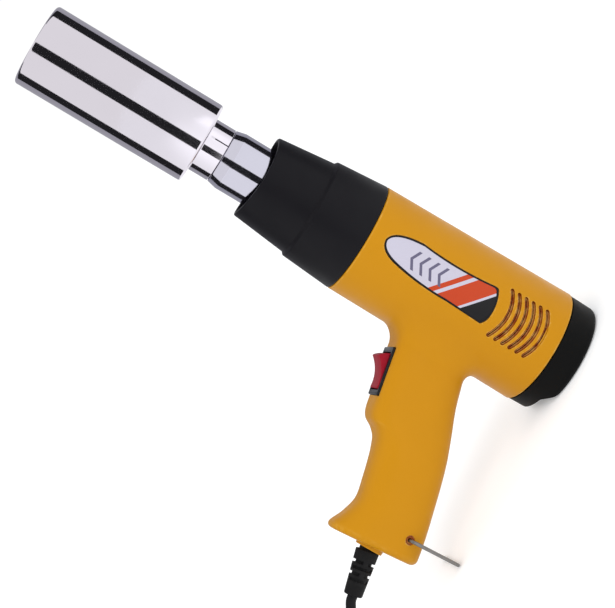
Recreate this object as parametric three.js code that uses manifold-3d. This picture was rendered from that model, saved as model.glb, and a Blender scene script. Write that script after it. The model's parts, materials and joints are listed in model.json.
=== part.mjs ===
// A hot air tool: a pistol-grip heat gun that stands on its rear cap with the nozzle up.
// Units are millimetres. +Z runs along the barrel to the nozzle, the grip points to -X, and the side
// with the plate faces -Y. The origin is the centre of the rear cap's standing face, on the barrel's axis.
import * as THREE from 'three';
import { mergeVertices } from 'three/addons/utils/BufferGeometryUtils.js';
import Module from 'manifold-3d';

const wasm = await Module();
wasm.setup();

// Walls and clearances
const FIT = 0.3; // gap between pieces that seat on each other
const WALL = 2.4; // moulded wall
const SHEET = 0.8; // pressed steel sheet

// Rear cap
const CAP_SIDE = 17.5; // standing face to the edge of the housing
const CAP_FACE_RADIUS = 34.8;
const CAP_FLARE = 0.4; // how much the cap widens towards the housing
const CAP_EDGE = 2.4; // rounding of the standing face
const CAP_SPIGOT = 8; // length that plugs into the barrel
const CAP_CUT_X = -22.8; // where the face is cut back, towards the grip
const CAP_CUT_DEPTH = 6.5;
const CAP_CUT_RUN = 5.7; // length of the ramp up to the cut
const GRILLE_RINGS = [[9.5, 12.8], [15.2, 18.5]]; // inner and outer radius of each ring of slots
const GRILLE_SPOKES = 6;
const SPOKE_WIDTH = 2.6;

// Barrel of the housing
const BARREL_LENGTH = 134.7;
const BARREL_REAR_RADIUS = 38.1;
const BARREL_FRONT_RADIUS = 36.1;
const BARREL_EDGE = 0.7; // rounding of the barrel's two ends
const NECK_LENGTH = 11.5; // spigot inside the nose shroud
const NECK_STEP = 2.9; // how far the spigot is set in

// Vents in both sides of the barrel
const VENT_COUNT = 6;
const VENT_FIRST_Z = 35.2;
const VENT_PITCH = 5.1;
const VENT_SPAN = 31.5;
const VENT_SAG = 4;
const VENT_WIDTH = 1.8;

// Plate in the left side
const PLATE_REAR_Z = 65;
const PLATE_LENGTH = 79;
const PLATE_WIDTH = 25;
const PLATE_THICKNESS = 0.6;
const PLATE_SUNK = 0.1; // its face below the barrel's

// Grip: edges as seen from the side, as x and z
const GRIP_REACH = 161.3; // barrel axis to the foot's face
const GRIP_WIDTH = 36;
const GRIP_FRONT_EDGE = [
  [-47, 101.8], [-81, 96.5], [-89, 95.9], [-93.4, 94.1], [-97, 87.2], [-101.5, 82.8],
  [-107, 80.9], [-126.6, 76], [-139, 73.8], [-150.5, 76.8], [-158.6, 80.9], [-164, 83],
];
const GRIP_BACK_EDGE = [
  [-46.5, 51], [-61, 47.1], [-80, 40], [-94, 35.1], [-122, 28.1], [-147, 22.8], [-164, 20.2],
];
const GRIP_ROOT_RADIUS = 9; // rounding from the grip's edges into the barrel, seen from the side
const GRIP_CHEEK_RADIUS = 12; // rounding from the grip's sides into the barrel
const GRIP_FOOT_RADIUS = 4.5;
const FOOT_TILT = 4; // degrees, with the foot's front corner further out than its back

// Rocker switch: centre of its face, its tilt and its frame
const SWITCH_X = -64.1;
const SWITCH_Z = 99.8;
const SWITCH_TILT = 9.7; // degrees
const FRAME_LENGTH = 31.4;
const FRAME_WIDTH = 24;
const FRAME_THICKNESS = 1.8;
const SWITCH_BODY_LENGTH = 28.2;
const SWITCH_BODY_WIDTH = 21;
const SWITCH_BODY_DEPTH = 20;
const SWITCH_RIM = 2.2; // frame's margin round the rocker, at its sides
const ROCKER_WELL = 9; // depth of the hollow under the rocker
const ROCKER_RADIUS = 10.8; // pivot to the rocker's tips
const ROCKER_PIVOT_DEPTH = 2;
const ROCKER_SPREAD = 62; // degrees from the middle to each tip
const ROCKER_TILT = 13; // degrees, with the barrel's end standing proud
const ROCKER_PIN_RADIUS = 1.3;
const TERMINAL_WIDTH = 6.3;
const TERMINAL_THICKNESS = 0.8;
const TERMINAL_LENGTH = 8;
const TERMINAL_SPACING = 14;

// Nose shroud
const SHROUD_REAR_LENGTH = 35.2; // up to the step
const SHROUD_FRONT_LENGTH = 39;
const SHROUD_WALL = 2.2;
const SHROUD_TAPER = 2.8; // how much the rear part narrows
const SHROUD_STEP = 1.8;
const SHROUD_LIP_RADIUS = 27.3;
const SHROUD_DIP = 2.5; // how far the lip dips at its two sides
const SHROUD_DIP_LENGTH = 20; // stretch behind the lip that the dip draws back
const SHROUD_LIP = 1.2; // rounding of the lip
const SHROUD_FIN_COUNT = 4;
const SHROUD_FIN_WIDTH = 1.6;
const SHROUD_FIN_LENGTH = 24;
const SHROUD_FIN_SETBACK = 6;

// Outlet tube
const TUBE_RADIUS = 19;
const GROOVE_LIP = 2.4; // how far the barrel's groove ribs reach in over the flange
const TUBE_FLANGE_SETBACK = 24.5; // barrel's front edge back to the flange
const TUBE_CONE_LENGTH = 18;
const TUBE_REACH = 92.5; // barrel's front edge to the shoulder
const SHOULDER_LENGTH = 6.6;
const SHOULDER_DROP = 1.5;
const NECK_TUBE_LENGTH = 18;

// Nozzle
const NOZZLE_RADIUS = 26.3;
const NOZZLE_LENGTH = 115;
const NOZZLE_EDGE = 2; // rounding of its two ends
const COLLAR_LENGTH = 13.7;
const COLLAR_SLITS = 3;
const SLIT_WIDTH = 0.8;
const SLIT_LENGTH = 9;
const SLIT_ANGLE = -77; // degrees, where the first slit stands

// Bail
const BAIL_WIRE = 2; // diameter
const BAIL_PIVOT_X = -146.4;
const BAIL_PIVOT_Z = 35.8;
const BAIL_LENGTH = 34.3;
const BAIL_LEAN = 2.3; // degrees from straight down, towards the barrel
const BAIL_BEND = 3;
const BAIL_PIN = 8; // length inside the grip
const BAIL_RECESS_RADIUS = 2.5;
const BAIL_RECESS_DEPTH = 1.6;
const BAIL_BOSS_RADIUS = 4;

// Strain relief and the collar in the foot of the grip
const LEAD_Z = 51.7;
const RELIEF_TILT = 10.9; // degrees below level
const FOOT_COLLAR_RADIUS = 9.2;
const FOOT_COLLAR_HEIGHT = 2.2;
const RELIEF_LENGTH = 30;
const RELIEF_HEAD_RADIUS = 7.6;
const RELIEF_TIP_RADIUS = 5.9;
const RELIEF_CORE_RADIUS = 4.4;
const RELIEF_HEAD_LENGTH = 7;
const RELIEF_TIP_LENGTH = 8;
const RELIEF_RIBS = 4;
const RELIEF_NECK_RADIUS = 5.6;
const RELIEF_FLANGE_RADIUS = 8;
const RELIEF_FLANGE = 2.5;

// Mains lead: diameter, the free stretch and the coil that is put away
const LEAD_DIAMETER = 6.4;
const LEAD_POINTS = [
  [-199.8, 0, 43.4], [-208.5, -1.6, 38.8], [-217.5, -4.6, 32.2], [-226.5, -8.8, 24.4],
  [-235.5, -13.9, 16.6], [-244.5, -19.2, 9.8],
];
const COIL_X = -285;
const COIL_Y = 14.8;
const COIL_INNER = 25.6; // radius of the smallest turn
const COIL_GAP = 0.5; // between one turn and the next
const COIL_TURNS_DOWN = 3.5; // turns that wind inwards on the table
const COIL_TURNS = 6;
const COIL_START = -58; // degrees, where the lead comes in
const COIL_STEPS = 24; // steps of one turn
const TIE_THICKNESS = 0.8;
const TIE_WIDTH = 5;
const TIE_ANGLE = -6; // degrees
const TIE_CORNER = 3;
const TAIL_CLIMB = 45; // degrees along the outer turn, while the tail climbs a layer
const TAIL_RADIUS = 30;
const TAIL_CURL = 150; // degrees

// Plug
const PLUG_LENGTH = 30;
const PLUG_WIDTH = 26;
const PLUG_THICKNESS = 17;
const PLUG_GUARD = 12;
const PIN_LENGTH = 17;
const PIN_WIDTH = 6.3;
const PIN_THICKNESS = 1.5;
const PIN_SPACING = 12.7;

// Motor and fan, as distances along the barrel
const MOTOR_REAR_Z = 27;
const MOTOR_LENGTH = 39;
const MOTOR_RADIUS = 18;
const MOTOR_WALL = 1.2;
const MOTOR_NOSE_RADIUS = 5;
const MOTOR_NOSE = 2;
const BEARING_RADIUS = 6; // boss on the motor's end cap
const BEARING_HEIGHT = 2;
const END_CAP_THICKNESS = 2.4;
const BRUSH_RING_HEIGHT = 3.4;
const BRUSH_RING_WALL = 1.6;
const SHAFT_RADIUS = 1.6;
const SHAFT_OUT = 19; // shaft in front of the motor's nose
const ROTOR_RADIUS = 13.8;
const ROTOR_LENGTH = 22;
const ROTOR_POLES = 5;
const MAGNET_THICKNESS = 2;
const FAN_RADIUS = 29.8;
const FAN_HUB_RADIUS = 9.5;
const FAN_LENGTH = 12;
const FAN_BLADES = 9;
const FAN_PITCH = 38; // degrees
const DUCT_WALL = 1.6;
const DUCT_LENGTH = 32;
const DUCT_COLLAR = 1.6; // rim that the housing's groove holds
const SPIDER = 2.4; // thickness of the arms that carry the motor
const VANE_COUNT = 5;
const VANE_LENGTH = 7;
const GROOVE_RIB = 2; // ribs of the housing's two grooves

// Rectifier board on the motor's end
const BOARD_LENGTH = 24;
const BOARD_WIDTH = 18;
const BOARD_THICKNESS = 1.6;
const DIODE_RADIUS = 1.4;
const DIODE_LENGTH = 6;
const DIODE_SPACING = 4;
const INNER_LEAD_RADIUS = 1.1;

// Heater
const MICA = 0.8;
const MICA_FRONT_SETBACK = 16; // neck's shoulder back to the front of the boards
const MICA_LENGTH = 98;
const ELEMENT_WIRE = 1;
const ELEMENT_TURNS = 9;

// Screws
const SCREW_SHANK = 1.4; // radius
const SCREW_HEAD = 2.9;
const SCREW_HEAD_HEIGHT = 2;
const SCREW_REACH = 11; // thread in the left half
const BOSS_RADIUS = 4.8;
const SCREW_SEAT = 8; // head's seat, from the parting plane
const SCREW_PLACES = [[30, 34], [30, 119], [-30, 119], [-30.5, 34], [-97, 60], [-150, 69.5]];
const CLAMP_X = -138;
const CLAMP_LENGTH = 26;
const CLAMP_WIDTH = 8;
const CLAMP_THICKNESS = 2.5;
const CLAMP_SCREW_SPACING = 19;
const CLAMP_POST_RADIUS = 3.4;
const CLAMP_SCREW_REACH = 9;

// Finishes
const yellowPlastic = new THREE.MeshStandardMaterial({ color: 0xd3982a, roughness: 0.42, metalness: 0 });
const blackPlastic = new THREE.MeshStandardMaterial({ color: 0x222226, roughness: 0.6, metalness: 0 });
const redPlastic = new THREE.MeshStandardMaterial({ color: 0x961e32, roughness: 0.3, metalness: 0 });
const plateFilm = new THREE.MeshStandardMaterial({ color: 0xdad7e6, roughness: 0.35, metalness: 0 });
const polishedSteel = new THREE.MeshStandardMaterial({ color: 0xdedce2, roughness: 0.08, metalness: 1 });
const wireSteel = new THREE.MeshStandardMaterial({ color: 0x8a8682, roughness: 0.35, metalness: 1 });
const rubber = new THREE.MeshStandardMaterial({ color: 0x18181a, roughness: 0.75, metalness: 0 });
const brass = new THREE.MeshStandardMaterial({ color: 0xb9964a, roughness: 0.35, metalness: 1 });
const screwSteel = new THREE.MeshStandardMaterial({ color: 0x77797c, roughness: 0.4, metalness: 1 });
const motorSteel = new THREE.MeshStandardMaterial({ color: 0x9a9c9f, roughness: 0.35, metalness: 1 });
const greyPlastic = new THREE.MeshStandardMaterial({ color: 0x55585c, roughness: 0.6, metalness: 0 });
const micaSheet = new THREE.MeshStandardMaterial({ color: 0xb9ab8c, roughness: 0.5, metalness: 0 });
const elementWire = new THREE.MeshStandardMaterial({ color: 0x5d5a58, roughness: 0.5, metalness: 1 });
const boardGreen = new THREE.MeshStandardMaterial({ color: 0x2f5b3a, roughness: 0.5, metalness: 0 });
const leadInsulation = new THREE.MeshStandardMaterial({ color: 0x8c3b30, roughness: 0.5, metalness: 0 });

// Places that follow from the sizes
const barrelRearZ = CAP_SIDE + FIT;
const barrelFrontZ = barrelRearZ + BARREL_LENGTH;
const shroudRearZ = barrelFrontZ + FIT;
const stepZ = shroudRearZ + SHROUD_REAR_LENGTH;
const shroudFrontZ = stepZ + SHROUD_FRONT_LENGTH;
const flangeZ = barrelFrontZ - TUBE_FLANGE_SETBACK;
const shoulderZ = barrelFrontZ + TUBE_REACH;
const neckZ = shoulderZ + SHOULDER_LENGTH;
const neckRadius = TUBE_RADIUS - SHOULDER_DROP - SHEET - FIT;
const nozzleRearZ = neckZ + FIT + COLLAR_LENGTH;
const nozzleFrontZ = nozzleRearZ + NOZZLE_LENGTH;
const motorFrontZ = MOTOR_REAR_Z + MOTOR_LENGTH;
const leadRadius = LEAD_DIAMETER / 2;
const halfGrip = GRIP_WIDTH / 2;
const radians = THREE.MathUtils.degToRad;
const grooveRibRadius = BARREL_REAR_RADIUS + 1; // the groove ribs end in the barrel's wall
const BEYOND = 400; // past every surface, for cutting tools
const ROUND = 32; // facets of the barrel's outside
const INSIDE = 24; // facets of its hollow and of the outlet tube
const NOZZLE_ROUND = 28; // facets of the nozzle
const HIDDEN = 18; // facets of what nothing shows
const RELIEF_ROUND = 12;

function barrelRadius(z) {
  const share = (z - barrelRearZ) / BARREL_LENGTH;
  return THREE.MathUtils.lerp(BARREL_REAR_RADIUS, BARREL_FRONT_RADIUS, share);
}

// Solids: closed meshes that can be joined and cut

function closedSolid(geometry) {
  const bare = geometry.index ? geometry.toNonIndexed() : geometry.clone();
  bare.deleteAttribute('normal');
  bare.deleteAttribute('uv');
  const merged = mergeVertices(bare, 1e-4);
  const place = merged.getAttribute('position');
  const corners = merged.getIndex().array;
  const kept = [];
  let volume = 0;
  const [a, b, c] = [new THREE.Vector3(), new THREE.Vector3(), new THREE.Vector3()];
  for (let i = 0; i < corners.length; i += 3) {
    const [p, q, r] = [corners[i], corners[i + 1], corners[i + 2]];
    if (p !== q && q !== r && r !== p) {
      a.fromBufferAttribute(place, p);
      b.fromBufferAttribute(place, q);
      c.fromBufferAttribute(place, r);
      volume += a.dot(b.cross(c));
      kept.push(p, q, r);
    }
  }
  if (volume < 0) kept.reverse();
  const vertProperties = new Float32Array(place.array);
  const triVerts = new Uint32Array(kept);
  return new wasm.Manifold(new wasm.Mesh({ numProp: 3, vertProperties, triVerts }));
}

function geometryOf(body) {
  const mesh = body.getMesh();
  const geometry = new THREE.BufferGeometry();
  geometry.setAttribute('position', new THREE.BufferAttribute(mesh.vertProperties, 3));
  geometry.setIndex(new THREE.BufferAttribute(mesh.triVerts, 1));
  geometry.computeVertexNormals();
  return geometry;
}

function joined(...bodies) {
  return bodies.reduce((whole, body) => whole.add(body));
}

function cut(body, ...tools) {
  return tools.reduce((left, tool) => left.subtract(tool), body);
}

function block(x0, x1, y0, y1, z0, z1) {
  const geometry = new THREE.BoxGeometry(x1 - x0, y1 - y0, z1 - z0);
  geometry.translate((x0 + x1) / 2, (y0 + y1) / 2, (z0 + z1) / 2);
  return closedSolid(geometry);
}

// A solid of revolution about Z, from a profile of radius and height
function revolved(profile, segments = ROUND) {
  const points = profile.map(([radius, height]) => new THREE.Vector2(radius, height));
  const geometry = new THREE.LatheGeometry(points, segments);
  geometry.rotateX(Math.PI / 2);
  return closedSolid(geometry);
}

function disc(radius, z0, z1, segments = 16) {
  return revolved([[0, z0], [radius, z0], [radius, z1], [0, z1]], segments);
}

function ring(inner, outer, z0, z1, segments = INSIDE) {
  return revolved([[inner, z0], [outer, z0], [outer, z1], [inner, z1], [inner, z0]], segments);
}

// A rod along Y at a place in the XZ plane
function crossRod(radius, x, z, y0, y1, segments = 8) {
  const geometry = new THREE.CylinderGeometry(radius, radius, y1 - y0, segments);
  geometry.translate(x, (y0 + y1) / 2, z);
  return closedSolid(geometry);
}

// A shape drawn in x and z, as thick as y0 to y1
function sideExtrusion(shape, y0, y1, curveSegments = 8) {
  const geometry = new THREE.ExtrudeGeometry(shape, { depth: y1 - y0, bevelEnabled: false, curveSegments });
  geometry.translate(0, 0, -y1);
  geometry.rotateX(Math.PI / 2);
  return closedSolid(geometry);
}

// A shape drawn in x and y, as thick as z0 to z1
function upExtrusion(shape, z0, z1, curveSegments = 8) {
  const geometry = new THREE.ExtrudeGeometry(shape, { depth: z1 - z0, bevelEnabled: false, curveSegments });
  geometry.translate(0, 0, z0);
  return closedSolid(geometry);
}

function outline(points) {
  return new THREE.Shape(points.map(([x, y]) => new THREE.Vector2(x, y)));
}

function circleOutline(radius, sides) {
  const turn = (2 * Math.PI) / sides;
  const corner = (_, i) => [radius * Math.cos(i * turn), radius * Math.sin(i * turn)];
  return outline(Array.from({ length: sides }, corner));
}

function roundedRectangle(width, height, radius) {
  const [w, h] = [width / 2, height / 2];
  const shape = new THREE.Shape();
  shape.moveTo(-w + radius, -h);
  shape.lineTo(w - radius, -h);
  shape.absarc(w - radius, -h + radius, radius, -Math.PI / 2, 0, false);
  shape.lineTo(w, h - radius);
  shape.absarc(w - radius, h - radius, radius, 0, Math.PI / 2, false);
  shape.lineTo(-w + radius, h);
  shape.absarc(-w + radius, h - radius, radius, Math.PI / 2, Math.PI, false);
  shape.lineTo(-w, -h + radius);
  shape.absarc(-w + radius, -h + radius, radius, Math.PI, 1.5 * Math.PI, false);
  return shape;
}

function wireAlong(curve, radius, sides, steps) {
  curve.arcLengthDivisions = 20 * steps;
  return new THREE.ExtrudeGeometry(circleOutline(radius, sides), { extrudePath: curve, steps });
}

function vectors(points) {
  return points.map(([x, y, z]) => new THREE.Vector3(x, y, z));
}

// A closed skin over rings of equally many points
function lofted(rings) {
  const count = rings[0].length;
  const positions = [];
  const push = (...points) => points.forEach((point) => positions.push(point.x, point.y, point.z));
  const middle = (points) => points.reduce((sum, point) => sum.add(point), new THREE.Vector3())
    .divideScalar(count);
  for (let k = 0; k + 1 < rings.length; k += 1) {
    for (let i = 0; i < count; i += 1) {
      const j = (i + 1) % count;
      push(rings[k][i], rings[k][j], rings[k + 1][j]);
      push(rings[k][i], rings[k + 1][j], rings[k + 1][i]);
    }
  }
  const [first, last] = [rings[0], rings.at(-1)];
  const [firstMiddle, lastMiddle] = [middle(first), middle(last)];
  for (let i = 0; i < count; i += 1) {
    const j = (i + 1) % count;
    push(firstMiddle, first[j], first[i]);
    push(lastMiddle, last[i], last[j]);
  }
  const geometry = new THREE.BufferGeometry();
  geometry.setAttribute('position', new THREE.Float32BufferAttribute(positions, 3));
  return closedSolid(geometry);
}

// A coordinate of a rounded rectangle: the power is 1 on an ellipse and less on a squarer outline
function rounded(value, power) {
  return Math.sign(value) * Math.abs(value) ** power;
}

// A smooth curve through points whose first number falls steadily, without overshoot
function throughPoints(points) {
  const slopes = points.map((_, i) => {
    if (i === 0 || i === points.length - 1) return null;
    const before = (points[i][1] - points[i - 1][1]) / (points[i][0] - points[i - 1][0]);
    const after = (points[i + 1][1] - points[i][1]) / (points[i + 1][0] - points[i][0]);
    return before * after <= 0 ? 0 : (2 * before * after) / (before + after);
  });
  const ends = [1, points.length - 1].map((i) => (
    (points[i][1] - points[i - 1][1]) / (points[i][0] - points[i - 1][0])));
  [slopes[0], slopes[points.length - 1]] = ends;
  return (x) => {
    let i = points.findIndex((point) => point[0] <= x);
    i = THREE.MathUtils.clamp(i < 0 ? points.length - 1 : i, 1, points.length - 1);
    const [[x0, y0], [x1, y1]] = [points[i - 1], points[i]];
    const step = x1 - x0;
    const t = (x - x0) / step;
    return y0 * (1 + 2 * t) * (1 - t) ** 2 + slopes[i - 1] * step * t * (1 - t) ** 2
      + y1 * t * t * (3 - 2 * t) + slopes[i] * step * t * t * (t - 1);
  };
}

// Grip: a loft of rounded sections from inside the barrel to the foot

const gripFront = throughPoints(GRIP_FRONT_EDGE);
const gripBack = throughPoints(GRIP_BACK_EDGE);
const gripMiddleZ = (GRIP_FRONT_EDGE[0][1] + GRIP_BACK_EDGE[0][1]) / 2;
const barrelAtGrip = barrelRadius(gripMiddleZ);

// How far an edge swings outwards near the barrel: a quarter round, and a steeper run inside the barrel
function rootRise(x) {
  const away = -x - barrelAtGrip;
  if (away >= GRIP_ROOT_RADIUS) return 0;
  if (away <= 0.1) return GRIP_ROOT_RADIUS * 0.9 + 1.2 * (0.1 - away);
  return GRIP_ROOT_RADIUS - Math.sqrt(GRIP_ROOT_RADIUS ** 2 - (GRIP_ROOT_RADIUS - away) ** 2);
}

// Half width of the grip: flat sides that round into the barrel
function gripHalfWidth(x) {
  const roundX = -Math.sqrt((barrelAtGrip + GRIP_CHEEK_RADIUS) ** 2 - (halfGrip + GRIP_CHEEK_RADIUS) ** 2);
  const inside = Math.sqrt(Math.max(barrelAtGrip ** 2 - x * x, 0)) - 0.4;
  if (x <= roundX) return halfGrip;
  const run = Math.min(x - roundX, GRIP_CHEEK_RADIUS * 0.98);
  const flare = halfGrip + GRIP_CHEEK_RADIUS - Math.sqrt(GRIP_CHEEK_RADIUS ** 2 - run * run);
  return x > -barrelAtGrip ? Math.min(flare, Math.max(inside, halfGrip)) : flare;
}

function gripSection(x, inset, count) {
  const rise = rootRise(x);
  const nearX = Math.min(x, GRIP_FRONT_EDGE[0][0]);
  const nearBackX = Math.min(x, GRIP_BACK_EDGE[0][0]);
  const top = gripFront(nearX) + rise - inset;
  const bottom = gripBack(nearBackX) - rise + inset;
  const [middle, half] = [(top + bottom) / 2, (top - bottom) / 2];
  const width = gripHalfWidth(x) - inset;
  const squareness = THREE.MathUtils.clamp((x + 110) / 25, 0, 1); // flatter front behind the switch
  const frontPower = 2 / (2.9 + 2.1 * squareness);
  const backPower = 2 / 2.7;
  return Array.from({ length: count }, (_, i) => {
    const angle = (2 * Math.PI * (i + 0.5)) / count;
    const power = Math.sin(angle) > 0 ? frontPower : backPower;
    const [across, along] = [rounded(Math.cos(angle), power), rounded(Math.sin(angle), power)];
    return new THREE.Vector3(x, width * across, middle + half * along);
  });
}

const GRIP_STATIONS = [
  -20, -30, -34, -36.5, -38, -39.2, -41, -43.5, -47, -64, -81, -88, -91.5, -93.6, -95.5, -98, -101.5,
  -107, -117, -128, -139, -147, -153.5,
];
const INNER_STATIONS = [-20, -34, -39.2, -43.5, -64, -81, -90, -95.5, -101.5, -110, -126, -139, -150];

function gripLoft(inset, reach, stations, count) {
  const foot = [[0, 0], [0.62, 0.12], [0.9, 0.5], [1, 1]]; // share of the rounding along and inwards
  const start = reach - GRIP_FOOT_RADIUS;
  const sections = stations.filter((x) => -x < start - 1).map((x) => gripSection(x, inset, count));
  foot.forEach(([along, inwards]) => {
    const x = -(start + GRIP_FOOT_RADIUS * along);
    const section = gripSection(x, inset + GRIP_FOOT_RADIUS * inwards, count);
    section.forEach((point) => { point.x -= (point.z - LEAD_Z) * Math.tan(radians(FOOT_TILT)); });
    sections.push(section);
  });
  return lofted(sections);
}

// Rocker switch placing: local x runs towards the barrel and local z out of the switch's face

const switchPlace = new THREE.Matrix4().makeRotationY(-radians(SWITCH_TILT))
  .setPosition(SWITCH_X, 0, SWITCH_Z);

function atSwitch(body) {
  return body.transform(switchPlace.elements);
}

// Lead's way out of the foot: local z runs out of the grip along the strain relief

const footX = -GRIP_REACH - FOOT_COLLAR_HEIGHT;
const reliefPlace = new THREE.Matrix4().makeRotationY(-Math.PI / 2 - radians(RELIEF_TILT))
  .setPosition(footX, 0, LEAD_Z);

function alongRelief(distance) {
  return new THREE.Vector3(0, 0, distance).applyMatrix4(reliefPlace);
}

// Housing

function barrelSolid() {
  const [rear, front] = [BARREL_REAR_RADIUS, BARREL_FRONT_RADIUS];
  return revolved([
    [0, barrelRearZ], [rear - BARREL_EDGE, barrelRearZ], [rear, barrelRearZ + BARREL_EDGE],
    [front, barrelFrontZ - BARREL_EDGE], [front - BARREL_EDGE, barrelFrontZ],
    [front - NECK_STEP, barrelFrontZ], [front - NECK_STEP, barrelFrontZ + NECK_LENGTH],
    [0, barrelFrontZ + NECK_LENGTH],
  ]);
}

function barrelHollow() {
  const neck = BARREL_FRONT_RADIUS - NECK_STEP - WALL;
  return revolved([
    [0, barrelRearZ - 1], [BARREL_REAR_RADIUS - WALL, barrelRearZ - 1],
    [BARREL_FRONT_RADIUS - WALL, barrelFrontZ - WALL - 1], [neck, barrelFrontZ - 1],
    [neck, barrelFrontZ + NECK_LENGTH + 1], [0, barrelFrontZ + NECK_LENGTH + 1],
  ], INSIDE);
}

// Two rings inside the barrel with a groove between them that holds a flange
function grooveRings(z, thickness, radius) {
  const front = z + thickness + FIT;
  return [
    ring(radius, grooveRibRadius, z - FIT - GROOVE_RIB, z - FIT, HIDDEN),
    ring(radius, grooveRibRadius, front, front + GROOVE_RIB, HIDDEN),
  ];
}

function ventShape(index) {
  const radius = (VENT_SPAN ** 2 / 4 + VENT_SAG ** 2) / (2 * VENT_SAG);
  const centreZ = VENT_FIRST_Z + index * VENT_PITCH - VENT_SAG + radius;
  const half = Math.asin(VENT_SPAN / 2 / radius);
  const steps = 4;
  const at = (reach, angle) => [reach * Math.sin(angle), centreZ - reach * Math.cos(angle)];
  const arc = (reach, spread) => Array.from({ length: steps + 1 }, (_, i) => (
    at(reach, spread * ((2 * i) / steps - 1))));
  const tip = half + VENT_WIDTH / 2 / radius;
  return outline([
    ...arc(radius + VENT_WIDTH / 2, half), at(radius, tip),
    ...arc(radius - VENT_WIDTH / 2, half).reverse(), at(radius, -tip),
  ]);
}

// The plate's outline: square rear, long sides, and a front that comes to a rounded point
function plateShape(grow) {
  const [w, rear, front] = [PLATE_WIDTH / 2 + grow, PLATE_REAR_Z - grow, PLATE_REAR_Z + PLATE_LENGTH + grow];
  const shape = new THREE.Shape();
  shape.moveTo(w - 2, rear + 2.4);
  shape.quadraticCurveTo(w, rear + 3, w - 0.3, rear + 6);
  shape.quadraticCurveTo(w - 3.4, rear + 0.4 * PLATE_LENGTH, w - 0.6, front - 22);
  shape.quadraticCurveTo(w - 2, front - 2, 2, front);
  shape.quadraticCurveTo(-w + 7, front, -w + 4.4, front - 12);
  shape.quadraticCurveTo(-w + 0.6, front - 30, -w + 1, rear + 0.35 * PLATE_LENGTH);
  shape.lineTo(-w, rear + 3);
  shape.quadraticCurveTo(-w + 3, rear, -w + 7, rear);
  shape.quadraticCurveTo(3, rear - 0.6, w - 2, rear + 2.4);
  return shape;
}

// The barrel's cone, sunk by a depth, as a full-length core
function barrelCore(depth) {
  return revolved([
    [0, barrelRearZ], [BARREL_REAR_RADIUS - depth, barrelRearZ],
    [BARREL_FRONT_RADIUS - depth, barrelFrontZ], [0, barrelFrontZ],
  ]);
}

function badgePlate() {
  const tool = sideExtrusion(plateShape(-FIT), -BEYOND, 0, 4);
  return cut(tool.intersect(barrelCore(PLATE_SUNK)), barrelCore(PLATE_SUNK + PLATE_THICKNESS));
}

function badgeRecess() {
  return cut(sideExtrusion(plateShape(0), -BEYOND, 0, 4), barrelCore(PLATE_SUNK + PLATE_THICKNESS + FIT));
}

function switchCut() {
  const [length, width] = [FRAME_LENGTH / 2 + FIT, FRAME_WIDTH / 2 + FIT];
  const [bodyLength, bodyWidth] = [SWITCH_BODY_LENGTH / 2 + FIT, SWITCH_BODY_WIDTH / 2 + FIT];
  const seat = block(-length, length, -width, width, -FRAME_THICKNESS - FIT, 12);
  const hole = block(-bodyLength, bodyLength, -bodyWidth, bodyWidth, -SWITCH_BODY_DEPTH, 12);
  return atSwitch(joined(seat, hole));
}

function reliefHole() {
  const neck = disc(RELIEF_NECK_RADIUS + FIT, -20, 5, 16);
  return neck.transform(reliefPlace.elements);
}

function footCollar() {
  const height = FOOT_COLLAR_HEIGHT + 1;
  const collar = new THREE.CylinderGeometry(FOOT_COLLAR_RADIUS - 0.3, FOOT_COLLAR_RADIUS, height, 16);
  collar.rotateZ(Math.PI / 2);
  collar.translate(-GRIP_REACH + 0.5 - FOOT_COLLAR_HEIGHT / 2, 0, LEAD_Z);
  return closedSolid(collar);
}

const bailPinInnerY = halfGrip + FIT + BAIL_WIRE / 2 - BAIL_PIN;

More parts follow.
